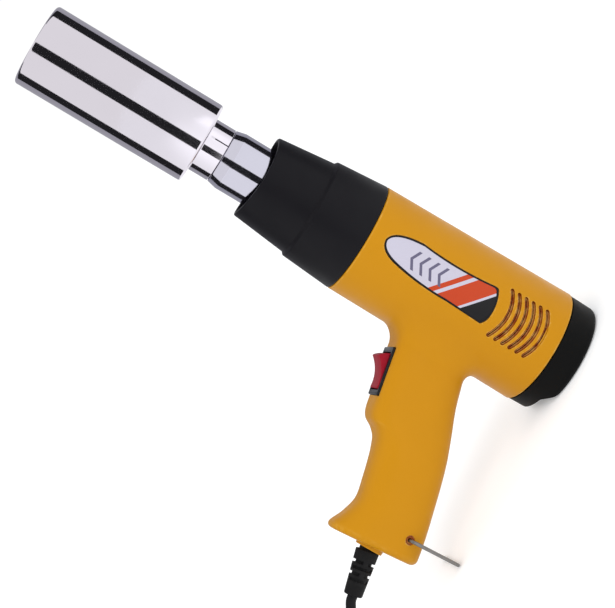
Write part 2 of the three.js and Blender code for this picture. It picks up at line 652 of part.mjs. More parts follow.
function housingHalves() {
  const outer = joined(barrelSolid(), gripLoft(0, GRIP_REACH, GRIP_STATIONS, 16), footCollar());
  const inner = joined(barrelHollow(), gripLoft(WALL, GRIP_REACH - WALL, INNER_STATIONS, 12));
  const bosses = SCREW_PLACES.map(([x, z]) => crossRod(BOSS_RADIUS, x, z, -BEYOND, BEYOND));
  const bailBosses = [-1, 1].map((side) => {
    const ends = [side * (bailPinInnerY - 1), side * BEYOND].sort((a, b) => a - b);
    return crossRod(BAIL_BOSS_RADIUS, BAIL_PIVOT_X, BAIL_PIVOT_Z, ...ends);
  });
  const room = cut(
    inner,
    ...bosses,
    ...bailBosses,
    ...grooveRings(flangeZ, SHEET, BARREL_FRONT_RADIUS - WALL - GROOVE_LIP),
    ...grooveRings(ductCollarZ, DUCT_COLLAR, ductOuterRadius + FIT),
  );
  const shell = cut(outer, room);
  const vents = Array.from({ length: VENT_COUNT }, (_, i) => sideExtrusion(ventShape(i), -BEYOND, BEYOND));
  const screwHoles = SCREW_PLACES.map(([x, z]) => joined(
    crossRod(SCREW_SHANK + FIT, x, z, -SCREW_REACH - 1, SCREW_SEAT + 1, 6),
    crossRod(SCREW_HEAD + FIT, x, z, SCREW_SEAT, BEYOND, 10),
  ));
  const bailHoles = [-1, 1].flatMap((side) => {
    const bore = [side * (bailPinInnerY - FIT), side * BEYOND].sort((a, b) => a - b);
    const recess = [side * (halfGrip - BAIL_RECESS_DEPTH), side * BEYOND].sort((a, b) => a - b);
    return [
      crossRod(BAIL_WIRE / 2 + FIT, BAIL_PIVOT_X, BAIL_PIVOT_Z, ...bore, 12),
      crossRod(BAIL_RECESS_RADIUS, BAIL_PIVOT_X, BAIL_PIVOT_Z, ...recess, 12),
    ];
  });
  const whole = cut(shell, ...vents, ...screwHoles, ...bailHoles, switchCut(), reliefHole());
  const parting = FIT / 2;
  const left = whole.intersect(block(-BEYOND, BEYOND, -BEYOND, -parting, -BEYOND, BEYOND));
  const right = whole.intersect(block(-BEYOND, BEYOND, parting, BEYOND, -BEYOND, BEYOND));
  const postRoom = gripLoft(WALL / 2, GRIP_REACH - WALL / 2, INNER_STATIONS, 12);
  return [cut(joined(left, clampPosts().intersect(postRoom)), ...clampHoles(), badgeRecess()), right];
}

// Cord clamp: two posts on the left half, a bar across the lead and its two screws

const clampZ = alongRelief(-(RELIEF_FLANGE + WALL + FOOT_COLLAR_HEIGHT + 4)).z
  + (CLAMP_X - alongRelief(0).x) * Math.tan(radians(RELIEF_TILT)) * 0.35;
const clampScrewZ = [-1, 1].map((side) => clampZ + (side * CLAMP_SCREW_SPACING) / 2);
const postTopY = leadRadius;

function clampPosts() {
  return joined(...clampScrewZ.map((z) => (
    crossRod(CLAMP_POST_RADIUS, CLAMP_X, z, -halfGrip, postTopY, 10))));
}

function clampHoles() {
  const depth = CLAMP_SCREW_REACH + 1;
  return clampScrewZ.map((z) => crossRod(SCREW_SHANK + FIT, CLAMP_X, z, postTopY - depth, postTopY + 1));
}

function cordClamp() {
  const bar = new THREE.BoxGeometry(CLAMP_WIDTH, CLAMP_THICKNESS, CLAMP_LENGTH);
  bar.translate(CLAMP_X, postTopY + FIT + CLAMP_THICKNESS / 2, clampZ);
  const holes = clampScrewZ.map((z) => crossRod(SCREW_SHANK + FIT, CLAMP_X, z, 0, BEYOND));
  return cut(closedSolid(bar), ...holes);
}

// A pan head screw: head towards +Y, shank towards -Y, with its seat at y = 0
function panScrew(reach) {
  const profile = [
    [0, -reach], [SCREW_SHANK, -reach], [SCREW_SHANK, 0], [SCREW_HEAD, 0],
    [SCREW_HEAD, SCREW_HEAD_HEIGHT * 0.5], [SCREW_HEAD * 0.7, SCREW_HEAD_HEIGHT], [0, SCREW_HEAD_HEIGHT],
  ];
  return new THREE.LatheGeometry(profile.map(([r, y]) => new THREE.Vector2(r, y)), 8);
}

// Rear cap: a cup with a grille, cut back on the grip's side

function capCut(depth) {
  // the cut's outline in x and z, moved into the cap by the wall's thickness
  const slope = CAP_CUT_DEPTH / CAP_CUT_RUN;
  const shift = (depth * Math.hypot(1, slope)) / slope;
  const rampX = CAP_CUT_X + shift;
  const top = CAP_CUT_DEPTH + depth;
  return sideExtrusion(outline([
    [rampX - depth / slope, depth], [rampX - top / slope, top], [-BEYOND, top], [-BEYOND, -BEYOND],
    [rampX - depth / slope, -BEYOND],
  ]), -BEYOND, BEYOND);
}

function rearCap() {
  const rim = CAP_FACE_RADIUS + CAP_EDGE;
  const edge = Array.from({ length: 3 }, (_, i) => {
    const angle = radians(-90 + 45 * i);
    return [CAP_FACE_RADIUS + CAP_EDGE * Math.cos(angle), CAP_EDGE * (1 + Math.sin(angle))];
  });
  const spigot = BARREL_REAR_RADIUS - WALL - 2 * FIT;
  const outer = revolved([
    [0, 0], ...edge, [rim + CAP_FLARE, CAP_SIDE], [spigot, CAP_SIDE],
    [spigot, CAP_SIDE + CAP_SPIGOT], [0, CAP_SIDE + CAP_SPIGOT],
  ]);
  const inner = revolved([
    [0, WALL], [CAP_FACE_RADIUS - 1.2, WALL], [rim - WALL, WALL + 2], [rim - WALL, CAP_SIDE - 3],
    [spigot - WALL, CAP_SIDE], [spigot - WALL, CAP_SIDE + CAP_SPIGOT + 1], [0, CAP_SIDE + CAP_SPIGOT + 1],
  ], INSIDE);
  const shell = cut(outer, capCut(0), cut(inner, capCut(WALL)));
  const spokes = Array.from({ length: GRILLE_SPOKES / 2 }, (_, i) => {
    const bar = new THREE.BoxGeometry(BEYOND, SPOKE_WIDTH, 4 * WALL);
    bar.rotateZ((i * 2 * Math.PI) / GRILLE_SPOKES);
    return closedSolid(bar);
  });
  const slots = GRILLE_RINGS.map(([from, to]) => cut(ring(from, to, -1, WALL + 1, HIDDEN), ...spokes));
  return cut(shell, ...slots);
}

// Nose shroud: two slightly tapered sleeves with a step, and fins that centre the outlet tube

function dipped(body) {
  return body.warp((point) => {
    const [x, y, z] = point;
    const sideways = (y * y) / Math.max(x * x + y * y, 1);
    const share = THREE.MathUtils.smoothstep(z, shroudFrontZ - SHROUD_DIP_LENGTH, shroudFrontZ);
    point[2] = z - SHROUD_DIP * sideways * share;
  });
}

function noseShroud() {
  const rear = BARREL_FRONT_RADIUS;
  const stepRear = rear - SHROUD_TAPER;
  const stepFront = stepRear - SHROUD_STEP;
  const lip = SHROUD_LIP_RADIUS;
  const neck = BARREL_FRONT_RADIUS - NECK_STEP + FIT;
  const lipArc = [[lip, -SHROUD_LIP], [lip - 0.35 * SHROUD_LIP, -0.3 * SHROUD_LIP], [lip - SHROUD_LIP, 0]];
  const inLip = lip - SHROUD_WALL;
  const neckEnd = barrelFrontZ + NECK_LENGTH + FIT;
  const shell = revolved([
    [rear - BARREL_EDGE, shroudRearZ], [rear, shroudRearZ + BARREL_EDGE], [stepRear, stepZ - 1],
    [stepFront, stepZ + 0.6], ...lipArc.map(([radius, back]) => [radius, shroudFrontZ + back]),
    [inLip, shroudFrontZ], [inLip - 0.4, shroudFrontZ - 1.5], [stepFront - SHROUD_WALL, stepZ - 1],
    [neck - SHROUD_WALL / 2, neckEnd + 2], [neck, neckEnd], [neck, shroudRearZ],
    [rear - BARREL_EDGE, shroudRearZ],
  ]);
  const finTop = shroudFrontZ - SHROUD_FIN_SETBACK;
  const finLow = finTop - SHROUD_FIN_LENGTH;
  const wallSlope = (stepFront - SHROUD_WALL - inLip) / SHROUD_FRONT_LENGTH;
  const wallAt = (z) => inLip + wallSlope * (shroudFrontZ - z) + SHROUD_WALL / 2;
  const finShape = outline([
    [TUBE_RADIUS + FIT, finLow + 3], [TUBE_RADIUS + FIT, finTop],
    [wallAt(finTop), finTop], [wallAt(finLow), finLow],
  ]);
  const fins = Array.from({ length: SHROUD_FIN_COUNT }, (_, i) => (
    sideExtrusion(finShape, -SHROUD_FIN_WIDTH / 2, SHROUD_FIN_WIDTH / 2)
      .rotate([0, 0, 45 + (i * 360) / SHROUD_FIN_COUNT])));
  return joined(dipped(shell), ...fins);
}

// Outlet tube: a flange held in the barrel, a cone, the tube, a shoulder and the neck for the nozzle

function heaterTube() {
  const flange = BARREL_FRONT_RADIUS - WALL - FIT;
  const rim = flange - GROOVE_LIP - 1;
  const coneEnd = flangeZ + SHEET + TUBE_CONE_LENGTH;
  const inside = TUBE_RADIUS - SHEET;
  const shoulder = TUBE_RADIUS - SHOULDER_DROP;
  return revolved([
    [flange, flangeZ], [flange, flangeZ + SHEET], [rim, flangeZ + SHEET], [TUBE_RADIUS, coneEnd],
    [TUBE_RADIUS, shoulderZ], [shoulder, neckZ - 0.2], [neckRadius, neckZ],
    [neckRadius, neckZ + NECK_TUBE_LENGTH], [neckRadius - SHEET, neckZ + NECK_TUBE_LENGTH],
    [neckRadius - SHEET, neckZ - 0.8], [shoulder - SHEET, neckZ - 1.2], [inside, shoulderZ - 0.3],
    [inside, coneEnd + 0.3], [rim - SHEET, flangeZ], [flange, flangeZ],
  ], INSIDE);
}

// Nozzle: a wide cylinder with rounded ends and a split collar

function nozzleBody() {
  const [r, wall, edge] = [NOZZLE_RADIUS, SHEET, NOZZLE_EDGE];
  const collar = neckRadius + FIT;
  const collarRear = nozzleRearZ - COLLAR_LENGTH;
  const round = (centreR, centreZ, radius, from, to) => Array.from({ length: 3 }, (_, i) => {
    const angle = radians(from + ((to - from) * i) / 2);
    return [centreR + radius * Math.cos(angle), centreZ + radius * Math.sin(angle)];
  });
  const [rearC, frontC] = [nozzleRearZ + edge, nozzleFrontZ - edge];
  const body = revolved([
    [collar, collarRear], [collar + SHEET, collarRear], [collar + SHEET, nozzleRearZ],
    ...round(r - edge, rearC, edge, -90, 0), ...round(r - edge, frontC, edge, 0, 90),
    [r - edge, nozzleFrontZ - wall],
    [r - wall, frontC], [r - wall, rearC], [r - edge, rearC - edge + wall],
    [collar, nozzleRearZ + wall], [collar, collarRear],
  ], NOZZLE_ROUND);
  const slits = Array.from({ length: COLLAR_SLITS }, (_, i) => {
    const slit = new THREE.BoxGeometry(6, SLIT_WIDTH, SLIT_LENGTH + 2);
    slit.translate(collar + SHEET / 2, 0, collarRear + SLIT_LENGTH / 2 - 1);
    slit.rotateZ(radians(SLIT_ANGLE) + (i * 2 * Math.PI) / COLLAR_SLITS);
    return closedSolid(slit);
  });
  return cut(body, ...slits);
}

// Rocker switch

const wellLength = 2 * (ROCKER_RADIUS + 1.6);
const rockerWidth = FRAME_WIDTH - 2 * SWITCH_RIM - 2 * FIT;

function switchFrame() {
  const bezel = new THREE.ExtrudeGeometry(roundedRectangle(FRAME_LENGTH, FRAME_WIDTH, 1.2), {
    depth: FRAME_THICKNESS - 0.5, bevelEnabled: true, bevelThickness: 0.5, bevelSize: 0.5, bevelOffset: -0.5,
    bevelSegments: 1, curveSegments: 3,
  });
  bezel.translate(0, 0, -FRAME_THICKNESS);
  const [length, width] = [SWITCH_BODY_LENGTH / 2, SWITCH_BODY_WIDTH / 2];
  const under = block(-length, length, -width, width, -SWITCH_BODY_DEPTH, -FRAME_THICKNESS + 0.4);
  const wellWidth = rockerWidth / 2 + FIT;
  const well = block(-wellLength / 2, wellLength / 2, -wellWidth, wellWidth, -ROCKER_WELL, 5);
  const pinReach = wellWidth + 1;
  const pinHole = crossRod(ROCKER_PIN_RADIUS + FIT, 0, -ROCKER_PIVOT_DEPTH, -pinReach, pinReach, 16);
  const plate = closedSolid(bezel).intersect(block(-40, 40, -40, 40, -FRAME_THICKNESS, 5));
  return cut(joined(plate, under), well, pinHole);
}

// The rocker in its own frame: origin on its pivot, tips at equal angles from the middle
function switchRocker() {
  const [r, half] = [ROCKER_RADIUS, radians(ROCKER_SPREAD)];
  const tip = [r * Math.sin(half), r * Math.cos(half)];
  const lowAngle = radians(106);
  const shape = new THREE.Shape();
  shape.moveTo(-tip[0], tip[1]);
  shape.quadraticCurveTo(0, tip[1] - 4.4, tip[0], tip[1]);
  shape.absarc(0, 0, r, Math.PI / 2 - half, Math.PI / 2 - lowAngle, true);
  shape.lineTo(-r * Math.sin(lowAngle), r * Math.cos(lowAngle));
  shape.absarc(0, 0, r, Math.PI / 2 + lowAngle, Math.PI / 2 + half, true);
  const body = sideExtrusion(shape, -rockerWidth / 2, rockerWidth / 2, 6);
  const pinReach = rockerWidth / 2 + 0.9;
  return joined(body, crossRod(ROCKER_PIN_RADIUS, 0, 0, -pinReach, pinReach, 10));
}

function switchTerminal(side) {
  const x = (side * TERMINAL_SPACING) / 2;
  const top = -SWITCH_BODY_DEPTH - FIT;
  const [w, t] = [TERMINAL_WIDTH / 2, TERMINAL_THICKNESS / 2];
  const tab = block(x - t, x + t, -w, w, top - TERMINAL_LENGTH, top);
  const eye = new THREE.CylinderGeometry(0.8, 0.8, 4, 8);
  eye.rotateZ(Math.PI / 2);
  eye.translate(x, 0, top - TERMINAL_LENGTH + 2.2);
  return cut(tab, closedSolid(eye));
}

// Bail: a U of wire whose ends turn into the grip's sides

// A wire bent in the YZ plane, with a ring of corners at each point of its path
function bentWire(path, radius, sides) {
  const rings = path.map((point, i) => {
    const into = point.clone().sub(path[Math.max(i - 1, 0)]).normalize();
    const out = path[Math.min(i + 1, path.length - 1)].clone().sub(point).normalize();
    const heading = into.add(out).normalize();
    const across = new THREE.Vector3(0, -heading.z, heading.y);
    const before = path[Math.max(i - 1, 0)];
    const run = i === 0 ? path[1].clone().sub(point) : point.clone().sub(before);
    const stretch = 1 / Math.max(heading.dot(run.normalize()), 0.5);
    return Array.from({ length: sides }, (_, k) => {
      const angle = (2 * Math.PI * k) / sides;
      return point.clone().addScaledVector(across, radius * stretch * Math.cos(angle))
        .add(new THREE.Vector3(radius * Math.sin(angle), 0, 0));
    });
  });
  return lofted(rings);
}

function bailWire() {
  const side = halfGrip + FIT + BAIL_WIRE / 2 + 0.2;
  const steps = 3;
  const corner = (y, z, from) => Array.from({ length: steps + 1 }, (_, i) => {
    const angle = radians(from + (90 * i) / steps);
    return [0, y + BAIL_BEND * Math.cos(angle), z + BAIL_BEND * Math.sin(angle)];
  });
  const [leg, low] = [side - BAIL_BEND, BAIL_BEND - BAIL_LENGTH];
  const [shoulder, foot] = [corner(leg, -BAIL_BEND, 0), corner(leg, low, -90)];
  const half = [[0, bailPinInnerY, 0], ...shoulder.reverse(), ...foot.reverse()];
  const mirrored = half.map(([x, y, z]) => [x, -y, z]).reverse();
  return bentWire(vectors([...half, ...mirrored]), BAIL_WIRE / 2, 8);
}

// Strain relief: flange and neck in the foot, a head, a flexible run of cut ribs and a plain tip

function strainRelief() {
  const ribbed = RELIEF_LENGTH - RELIEF_HEAD_LENGTH - RELIEF_TIP_LENGTH;
  const wallInside = -(FOOT_COLLAR_HEIGHT + WALL) / Math.cos(radians(RELIEF_TILT));
  const lean = RELIEF_FLANGE_RADIUS * Math.tan(radians(RELIEF_TILT));
  const flangeTop = wallInside - lean - FIT;
  const head = FIT + RELIEF_HEAD_RADIUS * Math.tan(radians(RELIEF_TILT));
  const taper = (s) => THREE.MathUtils.lerp(RELIEF_HEAD_RADIUS, RELIEF_TIP_RADIUS, s / RELIEF_LENGTH);
  const body = revolved([
    [0, flangeTop - RELIEF_FLANGE], [RELIEF_FLANGE_RADIUS, flangeTop - RELIEF_FLANGE],
    [RELIEF_FLANGE_RADIUS, flangeTop], [RELIEF_NECK_RADIUS, flangeTop], [RELIEF_NECK_RADIUS, head],
    [taper(head) - 0.6, head], [taper(head), head + 0.6], [taper(RELIEF_LENGTH), RELIEF_LENGTH - 1.8],
    [taper(RELIEF_LENGTH) - 0.6, RELIEF_LENGTH - 0.6], [taper(RELIEF_LENGTH) - 2, RELIEF_LENGTH],
    [0, RELIEF_LENGTH],
  ], RELIEF_ROUND);
  const pitch = ribbed / RELIEF_RIBS;
  const grooves = Array.from({ length: RELIEF_RIBS }, (_, i) => {
    const z = RELIEF_HEAD_LENGTH + pitch * (i + 0.5);
    const [from, to] = [z - pitch * 0.26, z + pitch * 0.26];
    const groove = ring(RELIEF_CORE_RADIUS, RELIEF_HEAD_RADIUS + 2, from, to, RELIEF_ROUND);
    const across = i % 2 === 0;
    const bridge = across ? block(-1.6, 1.6, -20, 20, z - 3, z + 3) : block(-20, 20, -1.6, 1.6, z - 3, z + 3);
    return cut(groove, bridge);
  });
  return cut(body, ...grooves);
}

// Mains lead: the free stretch, the coil in two layers and the tail to the plug

const reliefEnd = alongRelief(RELIEF_LENGTH + FIT);
const turnPitch = LEAD_DIAMETER + COIL_GAP;
const coilLowZ = leadRadius + TIE_THICKNESS + FIT;

function coilPoint(turns) {
  const angle = radians(COIL_START) - 2 * Math.PI * turns;
  const radius = COIL_INNER + turnPitch * Math.abs(COIL_TURNS_DOWN - turns);
  const climb = THREE.MathUtils.smoothstep(turns, COIL_TURNS_DOWN - 0.25, COIL_TURNS_DOWN + 0.25);
  const z = coilLowZ + turnPitch * climb;
  return new THREE.Vector3(COIL_X + radius * Math.cos(angle), COIL_Y + radius * Math.sin(angle), z);
}

class CoilCurve extends THREE.Curve {
  getPoint(t, target = new THREE.Vector3()) {
    return target.copy(coilPoint(t * COIL_TURNS));
  }
}

// Least gap between stretches of a wound wire that are more than half a turn apart
function leastSelfGap(name, pointAt, turns, diameter) {
  const count = Math.round(turns * 72);
  const points = Array.from({ length: count + 1 }, (_, i) => pointAt((i * turns) / count));
  let least = Infinity;
  for (let i = 0; i < points.length; i += 1) {
    for (let j = i + 36; j < points.length; j += 1) {
      least = Math.min(least, points[i].distanceTo(points[j]));
    }
  }
  console.log(`${name}: least gap to itself ${(least - diameter).toFixed(2)} mm`);
}

function coilHeading(turns) {
  return coilPoint(turns + 0.001).sub(coilPoint(turns - 0.001)).normalize();
}

function freeLead() {
  const start = reliefEnd.clone();
  const first = alongRelief(RELIEF_LENGTH + FIT + 3);
  const end = coilPoint(0).addScaledVector(coilHeading(0), -FIT);
  const before = end.clone().addScaledVector(coilHeading(0), -6);
  const points = [start, first, ...vectors(LEAD_POINTS), before, end];
  const curve = new THREE.CatmullRomCurve3(points, false, 'centripetal');
  return wireAlong(curve, leadRadius, 8, 14);
}

function coiledLead() {
  leastSelfGap('cord_coil', coilPoint, COIL_TURNS, LEAD_DIAMETER);
  return wireAlong(new CoilCurve(), leadRadius, 6, COIL_STEPS * COIL_TURNS);
}

// Tail: it climbs one layer along the outer turn, then curls inwards, so that the plug lies on the turns

const plugZ = coilLowZ + turnPitch + leadRadius + FIT + PLUG_THICKNESS / 2;

function tailPoint(share) {
  const upright = new THREE.Vector3(0, 0, 1);
  const from = coilPoint(COIL_TURNS);
  const coilMiddle = new THREE.Vector3(COIL_X, COIL_Y, from.z);
  const reach = from.distanceTo(coilMiddle);
  const climbLength = radians(TAIL_CLIMB) * reach;
  const along = share * (climbLength + radians(TAIL_CURL) * TAIL_RADIUS);
  const climbed = Math.min(along / climbLength, 1);
  const outwards = from.sub(coilMiddle).normalize().applyAxisAngle(upright, -radians(TAIL_CLIMB) * climbed);
  const point = coilMiddle.clone().addScaledVector(outwards, reach);
  if (along > climbLength) {
    const curled = outwards.clone().applyAxisAngle(upright, -(along - climbLength) / TAIL_RADIUS);
    point.addScaledVector(outwards, -TAIL_RADIUS).addScaledVector(curled, TAIL_RADIUS);
  }
  const layer = turnPitch * THREE.MathUtils.smoothstep(along, 0, climbLength);
  const rise = (plugZ - coilMiddle.z - turnPitch) * THREE.MathUtils.smoothstep(share, 0.4, 1);
  point.z = coilMiddle.z + layer + rise;
  return point;
}

class TailCurve extends THREE.Curve {
  getPoint(t, target = new THREE.Vector3()) {
    return target.copy(tailPoint(0.004 + 0.996 * t));
  }
}

function leadTail() {
  return wireAlong(new TailCurve(), leadRadius, 8, 14);
}

// A band round the bundle of turns
function coilTie() {
  const low = coilLowZ - leadRadius - FIT - TIE_THICKNESS;
  const high = coilLowZ + turnPitch + leadRadius + FIT + TIE_THICKNESS;
  const firstTurn = THREE.MathUtils.euclideanModulo(COIL_START - TIE_ANGLE, 360) / 360;
  const reaches = Array.from({ length: Math.ceil(COIL_TURNS) }, (_, i) => firstTurn + i)
    .filter((turns) => turns < COIL_TURNS)
    .map((turns) => COIL_INNER + turnPitch * Math.abs(COIL_TURNS_DOWN - turns));
  const margin = leadRadius + 2 * FIT + TIE_THICKNESS;
  const [inner, outer] = [Math.min(...reaches) - margin, Math.max(...reaches) + margin];
  const [width, height, wall] = [outer - inner, high - low, TIE_THICKNESS];
  const band = roundedRectangle(width, height, TIE_CORNER);
  band.holes.push(roundedRectangle(width - 2 * wall, height - 2 * wall, TIE_CORNER - wall));
  const size = { depth: TIE_WIDTH, bevelEnabled: false, curveSegments: 3 };
  const geometry = new THREE.ExtrudeGeometry(band, size);
  geometry.translate((inner + outer) / 2, (low + high) / 2, -TIE_WIDTH / 2);
  geometry.rotateX(Math.PI / 2);
  geometry.rotateZ(radians(TIE_ANGLE));
  geometry.translate(COIL_X, COIL_Y, 0);
  return geometry;
}

// Plug in its own frame: the lead enters at the origin and the pins point along +X

function plugBody() {
  const [w, t] = [PLUG_WIDTH / 2, PLUG_THICKNESS / 2];
  const rings = [
    [0, 4.4, 4.4], [PLUG_GUARD, 5.6, 5.6], [PLUG_GUARD + 3, w * 0.62, t * 0.86],
    [PLUG_GUARD + 8, w * 0.86, t], [PLUG_GUARD + PLUG_LENGTH - 9, w, t],
    [PLUG_GUARD + PLUG_LENGTH - 1.5, w, t], [PLUG_GUARD + PLUG_LENGTH, w - 1.5, t - 1.5],
  ].map(([x, half, thick], k) => Array.from({ length: 16 }, (_, i) => {
    const angle = (2 * Math.PI * i) / 16;
    const power = k < 2 ? 1 : 0.62;
    const [across, up] = [rounded(Math.cos(angle), power), rounded(Math.sin(angle), power)];
    return new THREE.Vector3(x, half * across, thick * up);
  }));
  return lofted(rings);
}

function plugPin(side) {
  const start = PLUG_GUARD + PLUG_LENGTH + FIT;
  const tip = start + PIN_LENGTH;
  const half = PIN_WIDTH / 2;
  const y = (side * PIN_SPACING) / 2;
  const blade = outline([
    [start, -half], [tip - 2, -half], [tip, -half + 2], [tip, half - 2], [tip - 2, half], [start, half],
  ]);
  const pin = sideExtrusion(blade, y - PIN_THICKNESS / 2, y + PIN_THICKNESS / 2);
  return cut(pin, crossRod(1.5, tip - 5, 0, -BEYOND, BEYOND));
}

// Motor

const shaftHole = SHAFT_RADIUS + FIT;
const endCapRearZ = MOTOR_REAR_Z - FIT - END_CAP_THICKNESS - BEARING_HEIGHT;

function motorCan() {
  const [r, wall, front] = [MOTOR_RADIUS, MOTOR_WALL, motorFrontZ];
  const can = revolved([
    [shaftHole, front + MOTOR_NOSE], [MOTOR_NOSE_RADIUS, front + MOTOR_NOSE], [MOTOR_NOSE_RADIUS, front],
    [r - 1, front], [r, front - 1], [r, MOTOR_REAR_Z], [r - wall, MOTOR_REAR_Z], [r - wall, front - wall],
    [shaftHole, front - wall], [shaftHole, front + MOTOR_NOSE],
  ], HIDDEN);
  const holes = [-1, 1].map((side) => disc(SCREW_SHANK + FIT, front - 4, front + 1, 8)
    .translate([side * motorScrewX, 0, 0]));
  return cut(can, ...holes);
}

const motorScrewX = (MOTOR_NOSE_RADIUS + MOTOR_RADIUS) / 2 - 1;

function motorEndCap() {
  const [r, inside, z] = [MOTOR_RADIUS - 0.2, MOTOR_RADIUS - MOTOR_WALL - FIT, MOTOR_REAR_Z - FIT];
  const [plateZ, ringZ] = [z - END_CAP_THICKNESS, z + BRUSH_RING_HEIGHT];
  const ringInside = inside - BRUSH_RING_WALL;
  return revolved([
    [shaftHole, endCapRearZ], [BEARING_RADIUS, endCapRearZ], [BEARING_RADIUS, plateZ], [r, plateZ], [r, z],
    [inside, z], [inside, ringZ], [ringInside, ringZ], [ringInside, z], [shaftHole, z],
    [shaftHole, endCapRearZ],
  ], 16);
}

function motorMagnet() {
  const outer = MOTOR_RADIUS - MOTOR_WALL - FIT;
  const inner = outer - MAGNET_THICKNESS;
  const half = radians(62);
  const shape = new THREE.Shape();
  shape.absarc(0, 0, outer, -half, half, false);
  shape.absarc(0, 0, inner, half, -half, true);
  return upExtrusion(shape, MOTOR_REAR_Z + 7, motorFrontZ - MOTOR_WALL - 3, 6);
}

function poleShape() {
  const pole = (2 * Math.PI) / ROTOR_POLES;
  const gap = radians(7);
  const shape = new THREE.Shape();
  for (let i = 0; i < ROTOR_POLES; i += 1) {
    const mid = i * pole;
    const [from, to] = [mid - pole / 2 + gap, mid + pole / 2 - gap];
    const neck = radians(13);
    const at = (radius, angle) => [radius * Math.cos(angle), radius * Math.sin(angle)];
    if (i === 0) shape.moveTo(...at(5.5, mid - neck * 2));
    else shape.lineTo(...at(5.5, mid - neck * 2));
    shape.lineTo(...at(ROTOR_RADIUS - 2.6, mid - neck));
    shape.lineTo(...at(ROTOR_RADIUS - 2, from));
    shape.absarc(0, 0, ROTOR_RADIUS, from, to, false);
    shape.lineTo(...at(ROTOR_RADIUS - 2, to));
    shape.lineTo(...at(ROTOR_RADIUS - 2.6, mid + neck));
    shape.lineTo(...at(5.5, mid + neck * 2));
  }
  shape.closePath();
  return shape;
}

function armatureBody() {
  const middle = (MOTOR_REAR_Z + motorFrontZ) / 2 + 2;
  const stack = upExtrusion(poleShape(), middle - ROTOR_LENGTH / 2, middle + ROTOR_LENGTH / 2, 2);
  const shaft = disc(SHAFT_RADIUS, MOTOR_REAR_Z - 4, motorFrontZ + MOTOR_NOSE + SHAFT_OUT, 10);
  const commutator = disc(4, MOTOR_REAR_Z + 1.5, MOTOR_REAR_Z + 7, 12);
  return joined(stack, shaft, commutator);
}

// Fan: a hub and twisted blades, trimmed to the duct

const fanZ = motorFrontZ + MOTOR_NOSE + 4;

function fanImpeller() {
  const [z0, z1] = [fanZ, fanZ + FAN_LENGTH];
  const hub = revolved([
    [shaftHole, z0], [FAN_HUB_RADIUS, z0], [FAN_HUB_RADIUS, z1 - 2.5], [FAN_HUB_RADIUS - 2.5, z1],
    [shaftHole, z1], [shaftHole, z0],
  ], 14);
  const middle = (z0 + z1) / 2;
  const blades = Array.from({ length: FAN_BLADES }, (_, i) => {
    const span = FAN_RADIUS - FAN_HUB_RADIUS + 4;
    const blade = new THREE.BoxGeometry(span, 1.2, FAN_LENGTH * 1.15);
    blade.translate(FAN_HUB_RADIUS - 1.5 + span / 2, 0, 0);
    const place = blade.getAttribute('position');
    for (let k = 0; k < place.count; k += 1) {
      // steeper at the hub, flatter at the tip
      const share = (place.getX(k) - FAN_HUB_RADIUS) / (FAN_RADIUS - FAN_HUB_RADIUS);
      const turn = radians(THREE.MathUtils.lerp(FAN_PITCH - 10, FAN_PITCH + 12, share));
      const [y, z] = [place.getY(k), place.getZ(k)];
      place.setY(k, y * Math.cos(turn) - z * Math.sin(turn));
      place.setZ(k, y * Math.sin(turn) + z * Math.cos(turn));
    }
    blade.translate(0, 0, middle);
    blade.rotateZ((i * 2 * Math.PI) / FAN_BLADES);
    return closedSolid(blade);
  });
  const trim = ring(FAN_HUB_RADIUS - 1, FAN_RADIUS, z0, z1, HIDDEN);
  return joined(hub, joined(...blades).intersect(trim));
}

// Duct: a sleeve round the fan, with the spider that carries the motor and a collar held by the housing

const ductInnerRadius = FAN_RADIUS + 0.8;
const ductOuterRadius = ductInnerRadius + DUCT_WALL;
const ductRearZ = motorFrontZ + FIT;
const ductFrontZ = ductRearZ + DUCT_LENGTH;
const ductCollarZ = ductRearZ + DUCT_LENGTH / 2;

function fanDuct() {
  const collarRadius = barrelRadius(ductCollarZ) - WALL - FIT;
  const sleeve = ring(ductInnerRadius, ductOuterRadius, ductRearZ, ductFrontZ, HIDDEN);
  const collar = ring(ductOuterRadius - 0.5, collarRadius, ductCollarZ, ductCollarZ + DUCT_COLLAR);
  const hub = ring(MOTOR_NOSE_RADIUS + FIT, MOTOR_RADIUS - 3, ductRearZ, ductRearZ + SPIDER, HIDDEN);
  const spokes = Array.from({ length: 3 }, (_, i) => {
    const reach = [MOTOR_RADIUS - 4, ductInnerRadius + DUCT_WALL / 2];
    const spoke = new THREE.BoxGeometry(reach[1] - reach[0], 4, SPIDER);
    spoke.translate((reach[0] + reach[1]) / 2, 0, ductRearZ + SPIDER / 2);
    spoke.rotateZ(radians(90) + (i * 2 * Math.PI) / 3);
    return closedSolid(spoke);
  });
  const holes = [-1, 1].map((side) => disc(SCREW_SHANK + FIT, ductRearZ - 1, ductRearZ + SPIDER + 1, 8)
    .translate([side * motorScrewX, 0, 0]));
  return cut(joined(sleeve, collar, hub, ...spokes), ...holes);
}

function flowStraightener() {
  const [z0, z1] = [ductFrontZ - VANE_LENGTH - 0.5, ductFrontZ - 0.5];
  const outer = ductInnerRadius - FIT;
  const band = ring(outer - 1.2, outer, z0, z1, HIDDEN);
  const hub = revolved([
    [0, z0 + 2], [FAN_HUB_RADIUS - 3, z0], [FAN_HUB_RADIUS, z0 + 1], [FAN_HUB_RADIUS - 1, z1], [0, z1],
  ], 12);
  const vanes = Array.from({ length: VANE_COUNT }, (_, i) => {
    const vane = new THREE.BoxGeometry(outer - FAN_HUB_RADIUS + 1, 1.2, z1 - z0 - 1);
    vane.translate((outer + FAN_HUB_RADIUS - 2) / 2, 0, (z0 + z1) / 2);
    vane.rotateZ((i * 2 * Math.PI) / VANE_COUNT);
    return closedSolid(vane);
  });
  return joined(band, hub, ...vanes);
}

